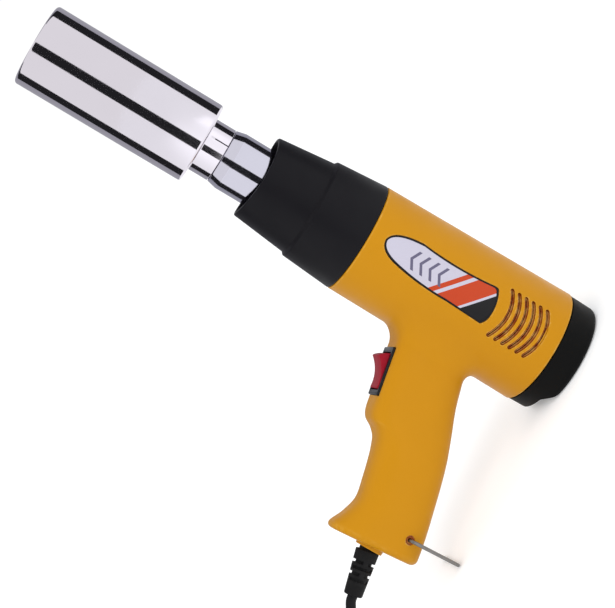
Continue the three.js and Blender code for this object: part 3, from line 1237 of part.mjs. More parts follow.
function motorScrew() {
  return revolved([
    [0, -4], [SCREW_SHANK, -4], [SCREW_SHANK, 0], [SCREW_HEAD - 0.3, 0], [SCREW_HEAD - 0.3, 0.8],
    [SCREW_HEAD - 1, 1.4], [0, 1.4],
  ], 8);
}

function rectifierBoard() {
  const top = endCapRearZ - FIT;
  const under = top - BOARD_THICKNESS;
  const [length, width] = [BOARD_LENGTH / 2, BOARD_WIDTH / 2];
  const board = block(-length, length, -width, width, under, top);
  const diodes = Array.from({ length: 4 }, (_, i) => {
    const diode = new THREE.CylinderGeometry(DIODE_RADIUS, DIODE_RADIUS, DIODE_LENGTH, 8);
    diode.rotateZ(Math.PI / 2);
    diode.translate(-0.42 * length, DIODE_SPACING * (i - 1.5), under - 0.8 * DIODE_RADIUS);
    return closedSolid(diode);
  });
  const [from, to, half] = [0.25 * length, 0.75 * length, 0.55 * width];
  const capacitor = block(from, to, -half, half, under - 3.4, under + 0.2);
  return joined(board, ...diodes, capacitor);
}

// Heater: two crossed boards in a sleeve, with the wire wound round them

const micaFrontZ = neckZ - MICA_FRONT_SETBACK;
const micaRearZ = micaFrontZ - MICA_LENGTH;
const sleeveInner = TUBE_RADIUS - SHEET - FIT - MICA - 0.1;
const earHalf = sleeveInner - FIT;
const waistHalf = earHalf - ELEMENT_WIRE - 0.8;
const elementRadius = waistHalf + FIT + ELEMENT_WIRE / 2 + 0.1;
const micaBoardZ = micaRearZ + 12; // the boards are full width from here
const ear = 6;

function micaBoard(slotFromFront) {
  const tongue = 9;
  const slotZ = (micaBoardZ + micaFrontZ) / 2;
  const rear = slotFromFront ? micaRearZ : micaBoardZ;
  const rearHalf = slotFromFront ? tongue : earHalf;
  const side = [
    [rearHalf, rear], [rearHalf, micaBoardZ], [earHalf, micaBoardZ], [earHalf, micaBoardZ + ear],
    [waistHalf, micaBoardZ + ear + 1], [waistHalf, micaFrontZ - ear - 1], [earHalf, micaFrontZ - ear],
    [earHalf, micaFrontZ],
  ];
  const mirrored = side.map(([x, z]) => [-x, z]).reverse();
  const board = sideExtrusion(outline([...side, ...mirrored]), -MICA / 2, MICA / 2);
  const slot = MICA / 2 + FIT;
  const [z0, z1] = slotFromFront ? [slotZ - FIT, micaFrontZ + 1] : [rear - 1, slotZ + FIT];
  const slotted = cut(board, block(-slot, slot, -5, 5, z0, z1));
  return slotFromFront ? slotted : slotted.rotate([0, 0, 90]);
}

class ElementCurve extends THREE.Curve {
  getPoint(t, target = new THREE.Vector3()) {
    const angle = 2 * Math.PI * ELEMENT_TURNS * t;
    const [z0, z1] = [micaBoardZ + ear + 3, micaFrontZ - ear - 3];
    const z = THREE.MathUtils.lerp(z0, z1, t);
    return target.set(elementRadius * Math.cos(angle), elementRadius * Math.sin(angle), z);
  }
}

function thermalCutout() {
  return block(2.2, 8.2, MICA / 2 + FIT, MICA / 2 + FIT + 3.6, micaRearZ + 2, micaRearZ + 10);
}

// Leads inside the grip

function innerLead(points) {
  const curve = new THREE.CatmullRomCurve3(vectors(points), false, 'centripetal');
  return wireAlong(curve, INNER_LEAD_RADIUS, 5, 12);
}

const terminalEnd = (side) => new THREE.Vector3(
  (side * TERMINAL_SPACING) / 2, 0, -SWITCH_BODY_DEPTH - FIT - TERMINAL_LENGTH - 5 * FIT,
).applyMatrix4(switchPlace).toArray();

function cordInGrip() {
  const wallInside = -(FOOT_COLLAR_HEIGHT + WALL) / Math.cos(radians(RELIEF_TILT));
  const lean = RELIEF_FLANGE_RADIUS * Math.tan(radians(RELIEF_TILT));
  const start = alongRelief(wallInside - lean - FIT - RELIEF_FLANGE - FIT);
  const second = alongRelief(wallInside - lean - RELIEF_FLANGE - 5);
  const curve = new THREE.CatmullRomCurve3([
    start, second, ...vectors([0, 9, 17].map((x) => [CLAMP_X + x, 0, clampZ + Math.min(x / 15, 0.6)])),
  ], false, 'centripetal');
  return wireAlong(curve, leadRadius - 0.2, 8, 8);
}

// Assembly

const tool = new THREE.Group();

function addTo(group, name, shape, material) {
  const geometry = shape instanceof THREE.BufferGeometry ? shape : geometryOf(shape);
  const mesh = new THREE.Mesh(geometry, material);
  mesh.name = name;
  group.add(mesh);
  return mesh;
}

const [housingLeft, housingRight] = housingHalves();
addTo(tool, 'housing_left', housingLeft, yellowPlastic);
addTo(tool, 'housing_right', housingRight, yellowPlastic);
addTo(tool, 'badge_plate', badgePlate(), plateFilm);
addTo(tool, 'rear_cap', rearCap(), blackPlastic);
addTo(tool, 'nose_shroud', noseShroud(), blackPlastic);
addTo(tool, 'heater_tube', heaterTube(), polishedSteel);
addTo(tool, 'nozzle', nozzleBody(), polishedSteel);

const screwGeometry = panScrew(SCREW_SEAT + SCREW_REACH);
SCREW_PLACES.forEach(([x, z], i) => {
  const screw = addTo(tool, `housing_screw_${i + 1}`, screwGeometry, screwSteel);
  screw.position.set(x, SCREW_SEAT + FIT, z);
});

const switchUnit = new THREE.Group();
switchUnit.position.set(SWITCH_X, 0, SWITCH_Z);
switchUnit.rotation.y = -radians(SWITCH_TILT);
tool.add(switchUnit);
addTo(switchUnit, 'switch_frame', switchFrame(), blackPlastic);
const rocker = addTo(switchUnit, 'switch_rocker', switchRocker(), redPlastic);
rocker.position.z = -ROCKER_PIVOT_DEPTH;
rocker.rotation.y = -radians(ROCKER_TILT);
addTo(switchUnit, 'switch_terminal_in', switchTerminal(-1), brass);
addTo(switchUnit, 'switch_terminal_out', switchTerminal(1), brass);

const bail = addTo(tool, 'bail', bailWire(), wireSteel);
bail.position.set(BAIL_PIVOT_X, 0, BAIL_PIVOT_Z);
bail.rotation.y = -radians(BAIL_LEAN);

const relief = addTo(tool, 'strain_relief', strainRelief(), rubber);
relief.position.set(footX, 0, LEAD_Z);
relief.rotation.y = -Math.PI / 2 - radians(RELIEF_TILT);
addTo(tool, 'power_cord', freeLead(), rubber);
addTo(tool, 'cord_coil', coiledLead(), rubber);
addTo(tool, 'cord_tail', leadTail(), rubber);
addTo(tool, 'coil_tie', coilTie(), blackPlastic);

const plugUnit = new THREE.Group();
const plugFrom = tailPoint(1);
const plugHeading = tailPoint(1).sub(tailPoint(0.99));
const plugAngle = Math.atan2(plugHeading.y, plugHeading.x);
plugUnit.position.set(plugFrom.x + FIT * Math.cos(plugAngle), plugFrom.y + FIT * Math.sin(plugAngle), plugZ);
plugUnit.rotation.z = plugAngle;
tool.add(plugUnit);
addTo(plugUnit, 'plug_body', plugBody(), rubber);
addTo(plugUnit, 'plug_pin_live', plugPin(-1), brass);
addTo(plugUnit, 'plug_pin_neutral', plugPin(1), brass);

addTo(tool, 'motor_can', motorCan(), motorSteel);
addTo(tool, 'motor_end_cap', motorEndCap(), greyPlastic);
addTo(tool, 'motor_magnet_upper', motorMagnet(), greyPlastic);
const lowerMagnet = addTo(tool, 'motor_magnet_lower', motorMagnet(), greyPlastic);
lowerMagnet.rotation.z = Math.PI;
addTo(tool, 'armature', armatureBody(), motorSteel);
addTo(tool, 'fan_impeller', fanImpeller(), greyPlastic);
addTo(tool, 'fan_duct', fanDuct(), greyPlastic);
addTo(tool, 'flow_straightener', flowStraightener(), greyPlastic);
[-1, 1].forEach((side, i) => {
  const screw = addTo(tool, `motor_screw_${i + 1}`, motorScrew(), screwSteel);
  screw.position.set(side * motorScrewX, 0, ductRearZ + SPIDER + FIT);
});
addTo(tool, 'rectifier_board', rectifierBoard(), boardGreen);

addTo(tool, 'mica_board_flat', micaBoard(true), micaSheet);
addTo(tool, 'mica_board_upright', micaBoard(false), micaSheet);
addTo(tool, 'mica_sleeve', ring(sleeveInner, sleeveInner + MICA, micaBoardZ, micaFrontZ), micaSheet);
const element = wireAlong(new ElementCurve(), ELEMENT_WIRE / 2, 5, 8 * ELEMENT_TURNS);
addTo(tool, 'heating_coil', element, elementWire);
addTo(tool, 'thermal_cutout', thermalCutout(), motorSteel);

addTo(tool, 'cord_in_grip', cordInGrip(), rubber);
addTo(tool, 'cord_clamp', cordClamp(), greyPlastic);
clampScrewZ.forEach((z, i) => {
  const screw = addTo(tool, `cord_clamp_screw_${i + 1}`, panScrew(CLAMP_SCREW_REACH), screwSteel);
  screw.position.set(CLAMP_X, postTopY + 2 * FIT + CLAMP_THICKNESS, z);
});

// The leads run from the cord's end to the switch, and from there past the housing's ribs and the motor
const cordEndX = CLAMP_X + 18.4;
const pastRibsX = -(grooveRibRadius + 2 * INNER_LEAD_RADIUS + FIT);
const besideMotorX = -(MOTOR_RADIUS + 2 * INNER_LEAD_RADIUS + 2);
const boardEdgeX = -(BOARD_LENGTH / 2 + INNER_LEAD_RADIUS + 0.5);
addTo(tool, 'lead_live', innerLead([
  [cordEndX, 1.4, clampZ + 1], [cordEndX + 11.6, 4, clampZ + 9], [SWITCH_X - 26, 4, clampZ + 13.5],
  terminalEnd(-1),
]), leadInsulation);
addTo(tool, 'lead_neutral', innerLead([
  [cordEndX, -1.6, clampZ - 0.6], [cordEndX + 12.6, -6, clampZ - 5], [SWITCH_X - 16, -8, clampZ - 1.5],
  [SWITCH_X + 6, -8, clampZ + 4.5], [pastRibsX - 1.5, -8, MOTOR_REAR_Z + 35],
  [besideMotorX - 9, -12, MOTOR_REAR_Z + 29], [besideMotorX - 1.5, -15, MOTOR_REAR_Z + 16],
  [besideMotorX, -14, MOTOR_REAR_Z + 4], [boardEdgeX - 6, -8, MOTOR_REAR_Z - 5.5],
  [boardEdgeX, -4, endCapRearZ - FIT - BOARD_THICKNESS - 1],
]), leadInsulation);
addTo(tool, 'lead_to_heater', innerLead([
  terminalEnd(1), [SWITCH_X + 15, 1, SWITCH_Z - 27], [pastRibsX - 0.5, 4, ductCollarZ],
  [pastRibsX, 6, ductCollarZ + DUCT_COLLAR + GROOVE_RIB + 6], [-ductInnerRadius, 4, ductFrontZ + 6],
  [-TUBE_RADIUS - 1, 1, flangeZ - 6], [-6, 1.8, micaRearZ - FIT],
]), leadInsulation);

export default tool;
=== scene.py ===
"""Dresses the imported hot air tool: fine shapes, finishes, floor, light and camera.

Drawing sizes are in millimetres and become metres where a mesh is made. The frame is the model's own:
+Z along the barrel to the nozzle, -X down the grip, and the side with the plate faces -Y.
"""

import json
import logging
import math
from collections.abc import Callable, Iterator, Sequence
from contextlib import contextmanager
from dataclasses import dataclass, field
from enum import Enum

import bmesh
import bpy
import numpy as np
from mathutils import Matrix, Vector

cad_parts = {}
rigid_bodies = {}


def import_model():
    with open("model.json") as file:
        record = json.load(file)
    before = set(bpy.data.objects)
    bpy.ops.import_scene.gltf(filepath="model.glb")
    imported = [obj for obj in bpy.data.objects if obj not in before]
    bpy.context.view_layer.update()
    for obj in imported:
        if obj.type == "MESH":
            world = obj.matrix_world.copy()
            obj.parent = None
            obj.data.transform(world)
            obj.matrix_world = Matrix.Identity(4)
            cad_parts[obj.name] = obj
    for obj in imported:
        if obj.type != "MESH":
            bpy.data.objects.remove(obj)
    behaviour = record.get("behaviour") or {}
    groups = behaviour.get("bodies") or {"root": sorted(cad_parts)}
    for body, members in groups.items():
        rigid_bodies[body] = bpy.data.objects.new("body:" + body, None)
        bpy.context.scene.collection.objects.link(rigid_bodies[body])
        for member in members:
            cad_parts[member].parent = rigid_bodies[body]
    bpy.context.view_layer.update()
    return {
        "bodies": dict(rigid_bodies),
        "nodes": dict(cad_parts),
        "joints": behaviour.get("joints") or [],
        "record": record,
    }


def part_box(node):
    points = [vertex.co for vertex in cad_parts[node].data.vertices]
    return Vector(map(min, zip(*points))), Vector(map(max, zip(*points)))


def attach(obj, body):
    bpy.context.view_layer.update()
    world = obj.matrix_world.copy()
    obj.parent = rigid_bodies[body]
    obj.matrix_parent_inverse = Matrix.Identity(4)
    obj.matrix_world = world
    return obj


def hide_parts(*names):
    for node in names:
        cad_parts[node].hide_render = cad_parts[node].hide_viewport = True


MM = 0.001
FIT = 0.3
FAR = 60.0
EDGE_LAYER = "proud_edge"
LOG = logging.getLogger("hot_air_tool")

Piece = bpy.types.Object
Socket = bpy.types.NodeSocket
Pair = tuple[float, float]
Triple = tuple[float, float, float]
Shape = Callable[[np.ndarray], np.ndarray]

BAIL_PIVOT: Pair = (-146.4, 35.8)
GRIP_HALF_WIDTH = 18.0


class Join(Enum):
    """How a second shape is combined with a piece."""

    ADD = "UNION"
    TAKE = "DIFFERENCE"
    COMMON = "INTERSECT"


class Axis(Enum):
    """Direction in which a drawn outline is made thick."""

    SIDE = "y"
    UP = "z"


# Bench work: short names for what is done to every piece


def take_up(*pieces: Piece) -> None:
    """Selects these pieces and nothing else; the first is the active one."""
    bpy.ops.object.select_all(action="DESELECT")
    for piece in pieces:
        piece.select_set(True)
    bpy.context.view_layer.objects.active = pieces[0]


@contextmanager
def editing(piece: Piece) -> Iterator[bmesh.types.BMesh]:
    """Opens a piece in edit mode.

    Args:
        piece: the piece to work on.

    Returns:
        The piece's mesh as it stands in edit mode.
    """
    take_up(piece)
    bpy.ops.object.mode_set(mode="EDIT")
    try:
        yield bmesh.from_edit_mesh(piece.data)
    finally:
        bpy.ops.object.mode_set(mode="OBJECT")


def closed_up() -> None:
    """Merges the doubles of the piece in edit mode and points its faces outwards."""
    bpy.ops.mesh.select_all(action="SELECT")
    bpy.ops.mesh.remove_doubles(threshold=2e-7)
    bpy.ops.mesh.normals_make_consistent(inside=False)


def face_from(name: str, corners: Sequence[Sequence[float]]) -> Piece:
    """Makes one face from a filled circle whose corners are moved to their places.

    Args:
        name: name of the new piece.
        corners: the face's corners in order, in millimetres.

    Returns:
        The new piece.
    """
    bpy.ops.object.select_all(action="DESELECT")
    bpy.ops.mesh.primitive_circle_add(vertices=len(corners), radius=MM, fill_type="NGON")
    piece = bpy.context.object
    piece.name = name
    for vertex, corner in zip(piece.data.vertices, corners):
        vertex.co = Vector(corner) * MM
    return piece


def prism(name: str, outline: Sequence[Pair], low: float, high: float, axis: Axis = Axis.SIDE) -> Piece:
    """Extrudes an outline.

    Args:
        name: name of the new piece.
        outline: corners as x and z for Axis.SIDE, or as x and y for Axis.UP.
        low: where the extrusion starts on the axis.
        high: where it ends.
        axis: the direction of the extrusion.

    Returns:
        The new closed piece.
    """
    side = axis is Axis.SIDE
    piece = face_from(name, [(a, low, b) if side else (a, b, low) for a, b in outline])
    run = Vector((0, high - low, 0) if side else (0, 0, high - low)) * MM
    with editing(piece):
        bpy.ops.mesh.select_all(action="SELECT")
        bpy.ops.mesh.extrude_region_move(TRANSFORM_OT_translate={"value": run})
        closed_up()
    return piece


def lofted(name: str, rings: Sequence[Sequence[Sequence[float]]]) -> Piece:
    """Extrudes a face from section to section and moves its corners to each.

    Args:
        name: name of the new piece.
        rings: sections with equally many corners each.

    Returns:
        The new closed piece.
    """
    piece = face_from(name, rings[0])
    with editing(piece) as mesh:
        bpy.ops.mesh.select_all(action="SELECT")
        for ring in rings[1:]:
            bpy.ops.mesh.extrude_region_move()
            face = next(face for face in mesh.faces if face.select)
            for loop, corner in zip(face.loops, ring):
                loop.vert.co = Vector(corner) * MM
        bmesh.update_edit_mesh(piece.data)
        closed_up()
    return piece


def eased(corners: Sequence[Sequence[float]], steps: int = 6) -> list[Pair]:
    """Rounds the corners of a closed outline.

    Args:
        corners: two coordinates and, where the corner is rounded, its radius.
        steps: straight pieces of each rounding.

    Returns:
        The outline with its roundings.
    """
    count = len(corners)
    outline = []
    for i, corner in enumerate(corners):
        middle = Vector(corner[:2])
        if len(corner) < 3:
            outline.append(tuple(middle))
            continue
        into = (Vector(corners[i - 1][:2]) - middle).normalized()
        out = (Vector(corners[(i + 1) % count][:2]) - middle).normalized()
        half = into.angle(out) / 2
        centre = middle + (into + out).normalized() * corner[2] / math.sin(half)
        start = middle + into * corner[2] / math.tan(half) - centre
        end = middle + out * corner[2] / math.tan(half) - centre
        first = math.atan2(start.y, start.x)
        sweep = (math.atan2(end.y, end.x) - first + math.pi) % math.tau - math.pi
        for k in range(steps + 1):
            angle = first + sweep * k / steps
            outline.append((centre.x + corner[2] * math.cos(angle), centre.y + corner[2] * math.sin(angle)))
    return outline


def turned(name: str, profile: Sequence[Sequence[float]], sides: int = 128, steps: int = 6) -> Piece:
    """Spins a closed profile round the Z axis.

    Args:
        name: name of the new piece.
        profile: radius and height of each corner and, where it is rounded, its radius.
        sides: facets of one turn.
        steps: straight pieces of each rounding.

    Returns:
        The new closed piece.
    """
    outline = eased(profile, steps)
    bpy.ops.object.select_all(action="DESELECT")
    bpy.ops.mesh.primitive_circle_add(vertices=len(outline), radius=MM)
    piece = bpy.context.object
    piece.name = name
    for vertex, (radius, height) in zip(piece.data.vertices, outline):
        vertex.co = (radius * MM, 0, height * MM)
    with editing(piece) as mesh:
        bpy.ops.mesh.select_all(action="DESELECT")
        for edge in mesh.edges:
            edge.select_set(all(vertex.co.x < 1e-9 for vertex in edge.verts))
        bmesh.update_edit_mesh(piece.data)
        bpy.ops.mesh.delete(type="EDGE_FACE")
        bpy.ops.mesh.select_all(action="SELECT")
        bpy.ops.mesh.spin(steps=sides, angle=math.tau, center=(0, 0, 0), axis=(0, 0, 1))
        closed_up()
    return piece


def box(name: str, low: Sequence[float], high: Sequence[float]) -> Piece:
    """A block to be shaped or cut with.

    Args:
        name: name of the new piece.
        low: its lowest corner.
        high: its highest corner.

    Returns:
        The new piece.
    """
    middle = (Vector(low) + Vector(high)) / 2
    bpy.ops.mesh.primitive_cube_add(size=1, location=middle * MM)
    piece = bpy.context.object
    piece.name = name
    piece.scale = (Vector(high) - Vector(low)) * MM
    return moved(piece, Matrix())


def rod(name: str, radius: float, start: Sequence[float], end: Sequence[float], sides: int = 32) -> Piece:
    """A round bar to be shaped or cut with.

    Args:
        name: name of the new piece.
        radius: half its thickness.
        start: the middle of one end.
        end: the middle of the other.
        sides: its facets.

    Returns:
        The new piece.
    """
    run = Vector(end) - Vector(start)
    middle = (Vector(start) + Vector(end)) / 2
    bpy.ops.mesh.primitive_cylinder_add(vertices=sides, radius=radius * MM, depth=run.length * MM)
    piece = bpy.context.object
    piece.name = name
    turn = run.to_track_quat("Z", "Y").to_matrix().to_4x4()
    return moved(piece, Matrix.Translation(middle * MM) @ turn)


def cross_rod(name: str, radius: float, place: Pair, low: float, high: float, sides: int = 32) -> Piece:
    """A round bar along Y, at an x and z, from low to high."""
    x, z = place
    return rod(name, radius, (x, low, z), (x, high, z), sides)


def moved(piece: Piece, place: Matrix) -> Piece:
    """Moves a piece by a matrix in metres and puts its place in its mesh."""
    bpy.context.view_layer.update()
    piece.matrix_world = place @ piece.matrix_world
    take_up(piece)
    bpy.ops.object.transform_apply(location=True, rotation=True, scale=True)
    return piece


def copied(piece: Piece, name: str, place: Matrix) -> Piece:
    """A copy of a piece, with its own mesh, moved by a matrix in metres."""
    take_up(piece)
    bpy.ops.object.duplicate(linked=False)
    twin = bpy.context.object
    twin.name = name
    return moved(twin, place)


def gathered(*pieces: Piece) -> Piece:
    """Joins pieces that don't touch into one."""
    take_up(*pieces)
    bpy.ops.object.join()
    return pieces[0]


def applied(piece: Piece, kind: str, **settings: object) -> Piece:
    """Gives a piece a modifier and applies it.

    Args:
        piece: the piece that is changed.
        kind: the kind of modifier.
        settings: its settings, by name.

    Returns:
        The changed piece.
    """
    work = piece.modifiers.new("work", kind)
    for name, value in settings.items():
        setattr(work, name, value)
    take_up(piece)
    bpy.ops.object.modifier_apply(modifier=work.name)
    return piece


def combined(piece: Piece, tool: Piece, how: Join = Join.TAKE, keep: bool = False) -> Piece:
    """Adds a second shape to a piece, cuts it away, or keeps only what both hold.

    Args:
        piece: the piece that is changed.
        tool: the second shape.
        how: what is done with it.
        keep: whether the second shape stays for another use.

    Returns:
        The changed piece.
    """
    before = len(piece.data.vertices)
    applied(piece, "BOOLEAN", operation=how.value, solver="MANIFOLD", object=tool)
    if len(piece.data.vertices) == before:
        LOG.warning("%s: %s with %s changed nothing", piece.name, how.name, tool.name)
    if not keep:
        bpy.data.objects.remove(tool)
    return piece


def bevelled(piece: Piece, width: float, segments: int = 2, angle: float = 30.0) -> Piece:
    """Rounds every edge that is sharper than an angle in degrees."""
    return applied(piece, "BEVEL", width=width * MM, segments=segments, limit_method="ANGLE",
                   angle_limit=math.radians(angle))


def swept(name: str, path: Sequence[Sequence[float]], radius: float, resolution: int = 5) -> Piece:
    """A round bar along a path, as a mesh with closed ends.

    Args:
        name: name of the new piece.
        path: points in millimetres.
        radius: half the bar's thickness.
        resolution: how finely the bar is rounded.

    Returns:
        The new piece.
    """
    piece = line_piece(name, path, radius, resolution)
    piece.data.use_fill_caps = True
    take_up(piece)
    bpy.ops.object.convert(target="MESH")
    with editing(piece):
        closed_up()
    return piece


def line_piece(name: str, path: Sequence[Sequence[float]], radius: float, resolution: int) -> Piece:
    """A curve of one open spline with a round section.

    Args:
        name: name of the new piece.
        path: points in millimetres.
        radius: half its thickness.
        resolution: how finely it is rounded.

    Returns:
        The new curve piece.
    """
    curve = bpy.data.curves.new(name, "CURVE")
    curve.dimensions = "3D"
    curve.bevel_depth = radius * MM
    curve.bevel_resolution = resolution
    spline = curve.splines.new("POLY")
    spline.points.add(len(path) - 1)
    for point, place in zip(spline.points, path):
        point.co = (*(Vector(place) * MM), 1)
    spline.use_smooth = True
    piece = bpy.data.objects.new(name, curve)
    bpy.context.scene.collection.objects.link(piece)
    return piece


def smooth(piece: Piece, angle: float = 32.0) -> Piece:
    """Shades a piece smooth, with edges sharper than an angle in degrees left crisp."""
    take_up(piece)
    bpy.ops.object.shade_smooth_by_angle(angle=math.radians(angle))
    return piece


def mark_proud_edges(piece: Piece, soft: float = 9.0, sharp: float = 34.0) -> None:
    """Writes how far each corner of the mesh stands proud, for the finishes that mark their proud edges
    lighter: by wear, and on the yellow shell also by a painted highlight.

    Args:
        piece: the piece to mark.
        soft: bend in degrees from which an edge counts.
        sharp: bend from which it counts fully.
    """
    mesh = bmesh.new()
    mesh.from_mesh(piece.data)
    layer = mesh.verts.layers.float.new(EDGE_LAYER)
    for vertex in mesh.verts:
        bend = max((math.degrees(edge.calc_face_angle_signed(0)) for edge in vertex.link_edges), default=0)
        vertex[layer] = min(max((bend - soft) / (sharp - soft), 0), 1)
    mesh.to_mesh(piece.data)
    mesh.free()


def catmull_rom(points: Sequence[Sequence[float]], steps: int) -> list[Vector]:
    """A centripetal curve through points.

    Args:
        points: the points in order.
        steps: straight pieces between two of them.

    Returns:
        Points along the curve.
    """
    knots = [Vector(point) for point in points]
    knots = [2 * knots[0] - knots[1], *knots, 2 * knots[-1] - knots[-2]]
    line = []
    for a, b, c, d in zip(knots, knots[1:], knots[2:], knots[3:]):
        t1 = math.sqrt((b - a).length)
        t2 = t1 + math.sqrt((c - b).length)
        t3 = t2 + math.sqrt((d - c).length)
        for k in range(steps):
            t = t1 + (t2 - t1) * k / steps
            ab = a.lerp(b, t / t1)
            bc = b.lerp(c, (t - t1) / (t2 - t1))
            cd = c.lerp(d, (t - t2) / (t3 - t2))
            abc = ab.lerp(bc, t / t2)
            bcd = bc.lerp(cd, (t - t1) / (t3 - t1))
            line.append(abc.lerp(bcd, (t - t1) / (t2 - t1)))
    line.append(knots[-2].copy())
    return line


def turn_about(axis: str, degrees: float) -> Matrix:
    """A turn about one axis through the origin."""
    return Matrix.Rotation(math.radians(degrees), 4, axis)


def shift(x: float, y: float, z: float) -> Matrix:
    """A move in millimetres, as a matrix in metres."""
    return Matrix.Translation(Vector((x, y, z)) * MM)


def smoothstep(value: float, low: float, high: float) -> float:
    """Rises smoothly from 0 at low to 1 at high."""
    share = min(max((value - low) / (high - low), 0), 1)
    return share * share * (3 - 2 * share)


# Finishes


def linear(colour: Sequence[float]) -> tuple[float, float, float, float]:
    """Turns a screen colour of 0 to 255 into the renderer's linear colour."""
    shares = [part / 255 for part in colour]
    return (*(s / 12.92 if s <= 0.04045 else ((s + 0.055) / 1.055) ** 2.4 for s in shares), 1.0)


class NodeSheet:
    """A node tree that is being written."""

    def __init__(self, tree: bpy.types.NodeTree) -> None:
        """Starts on an empty tree."""
        self.tree = tree
        tree.nodes.clear()

    def add(self, kind: str, **settings: object) -> bpy.types.Node:
        """Adds a node of a kind and gives it its settings."""
        node = self.tree.nodes.new(kind)
        for name, value in settings.items():
            setattr(node, name, value)
        return node

    def join(self, source: Socket, target: Socket) -> None:
        """Joins two sockets."""
        self.tree.links.new(source, target)

    def feed(self, socket: Socket, value: object) -> None:
        """Gives a socket its value: another socket, a number or a colour."""
        if isinstance(value, Socket):
            self.join(value, socket)
        else:
            socket.default_value = value

    def math(self, operation: str, *values: object) -> Socket:
        """A sum of numbers and sockets.

        Args:
            operation: name of the Math node's operation.
            values: numbers or sockets, in the node's order.

        Returns:
            The socket with the result.
        """
        node = self.add("ShaderNodeMath", operation=operation)
        for socket, value in zip(node.inputs, values):
            self.feed(socket, value)
        return node.outputs[0]

    def across(self, first: Socket, second: Socket) -> Socket:
        """The distance that two moves at a right angle make together."""
        squares = [self.math("MULTIPLY", move, move) for move in (first, second)]
        return self.math("SQRT", self.math("ADD", *squares))

    def between(self, value: Socket, low: float, high: float) -> Socket:
        """1 where a value lies between two limits, and 0 elsewhere."""
        past = self.math("GREATER_THAN", value, low)
        return self.math("MULTIPLY", past, self.math("LESS_THAN", value, high))

    def apart(self, coords: Socket) -> list[Socket]:
        """The coordinates x, y and z of a point, in millimetres."""
        node = self.add("ShaderNodeSeparateXYZ")
        self.join(coords, node.inputs[0])
        return [self.math("MULTIPLY", node.outputs[axis], 1 / MM) for axis in "XYZ"]

    def noise(self, vector: Socket, scale: object, detail: float = 2.0) -> Socket:
        """The value of a noise texture, whose scale is a number or a socket."""
        node = self.add("ShaderNodeTexNoise")
        node.inputs["Detail"].default_value = detail
        self.join(vector, node.inputs["Vector"])
        self.feed(node.inputs["Scale"], scale)
        return node.outputs["Fac"]

    def mixed(self, share: object, first: object, second: object) -> Socket:
        """Mixes two colours, each a socket or a linear colour, by a share from 0 to 1."""
        node = self.add("ShaderNodeMix", data_type="RGBA")
        for index, value in ((0, share), (6, first), (7, second)):
            self.feed(node.inputs[index], value)
        return node.outputs[2]


class Effect:
    """A shader node group for one effect that several finishes share."""

    name = "effect"
    takes: tuple[tuple[str, str], ...] = ()
    gives: tuple[tuple[str, str], ...] = ()

    def write(self, sheet: NodeSheet, given: bpy.types.Node, result: bpy.types.Node) -> None:
        """Writes the effect's own nodes between its inputs and outputs."""
        raise NotImplementedError

    def tree(self) -> bpy.types.NodeTree:
        """The effect's node group, which is built on its first use."""
        known = bpy.data.node_groups.get(self.name)
        if known:
            return known
        tree = bpy.data.node_groups.new(self.name, "ShaderNodeTree")
        for way, sockets in (("INPUT", self.takes), ("OUTPUT", self.gives)):
            for name, kind in sockets:
                tree.interface.new_socket(name=name, in_out=way, socket_type=kind)
        sheet = NodeSheet(tree)
        self.write(sheet, sheet.add("NodeGroupInput"), sheet.add("NodeGroupOutput"))
        return tree

    def placed(self, sheet: NodeSheet, **values: object) -> bpy.types.Node:
        """Places the effect in a material.

        Args:
            sheet: the material's nodes.
            values: a number, a colour or a socket for each input.

        Returns:
            The group node.
        """
        node = sheet.add("ShaderNodeGroup", node_tree=self.tree())
        for name, value in values.items():
            sheet.feed(node.inputs[name], value)
        return node


class Mottle(Effect):
    """Slight unevenness of a colour, as in dyed plastic or handled metal."""

    name = "mottled_colour"
    takes = (("Vector", "NodeSocketVector"), ("Colour", "NodeSocketColor"),
             ("Scale", "NodeSocketFloat"), ("Amount", "NodeSocketFloat"))
    gives = (("Colour", "NodeSocketColor"),)

    def write(self, sheet: NodeSheet, given: bpy.types.Node, result: bpy.types.Node) -> None:
        """Lightens and darkens the colour by a noise."""
        cloud = sheet.noise(given.outputs["Vector"], given.outputs["Scale"], 3.0)
        swing = sheet.math("MULTIPLY", sheet.math("SUBTRACT", cloud, 0.5), given.outputs["Amount"])
        shade = sheet.add("ShaderNodeHueSaturation")
        sheet.join(sheet.math("ADD", swing, 1.0), shade.inputs["Value"])
        sheet.join(given.outputs["Colour"], shade.inputs["Color"])
        sheet.join(shade.outputs["Color"], result.inputs["Colour"])


class Grain(Effect):
    """Fine relief of a spark-eroded mould or of drawn metal."""

    name = "surface_grain"
    takes = (("Vector", "NodeSocketVector"), ("Scale", "NodeSocketFloat"))
    gives = (("Height", "NodeSocketFloat"),)

    def write(self, sheet: NodeSheet, given: bpy.types.Node, result: bpy.types.Node) -> None:
        """Adds a fine noise to a coarse one."""
        coarse = sheet.noise(given.outputs["Vector"], given.outputs["Scale"], 2.0)
        finer = sheet.math("MULTIPLY", given.outputs["Scale"], 2.7)
        fine = sheet.noise(given.outputs["Vector"], finer, 1.0)
        height = sheet.math("MULTIPLY_ADD", fine, 0.4, coarse)
        sheet.join(height, result.inputs["Height"])


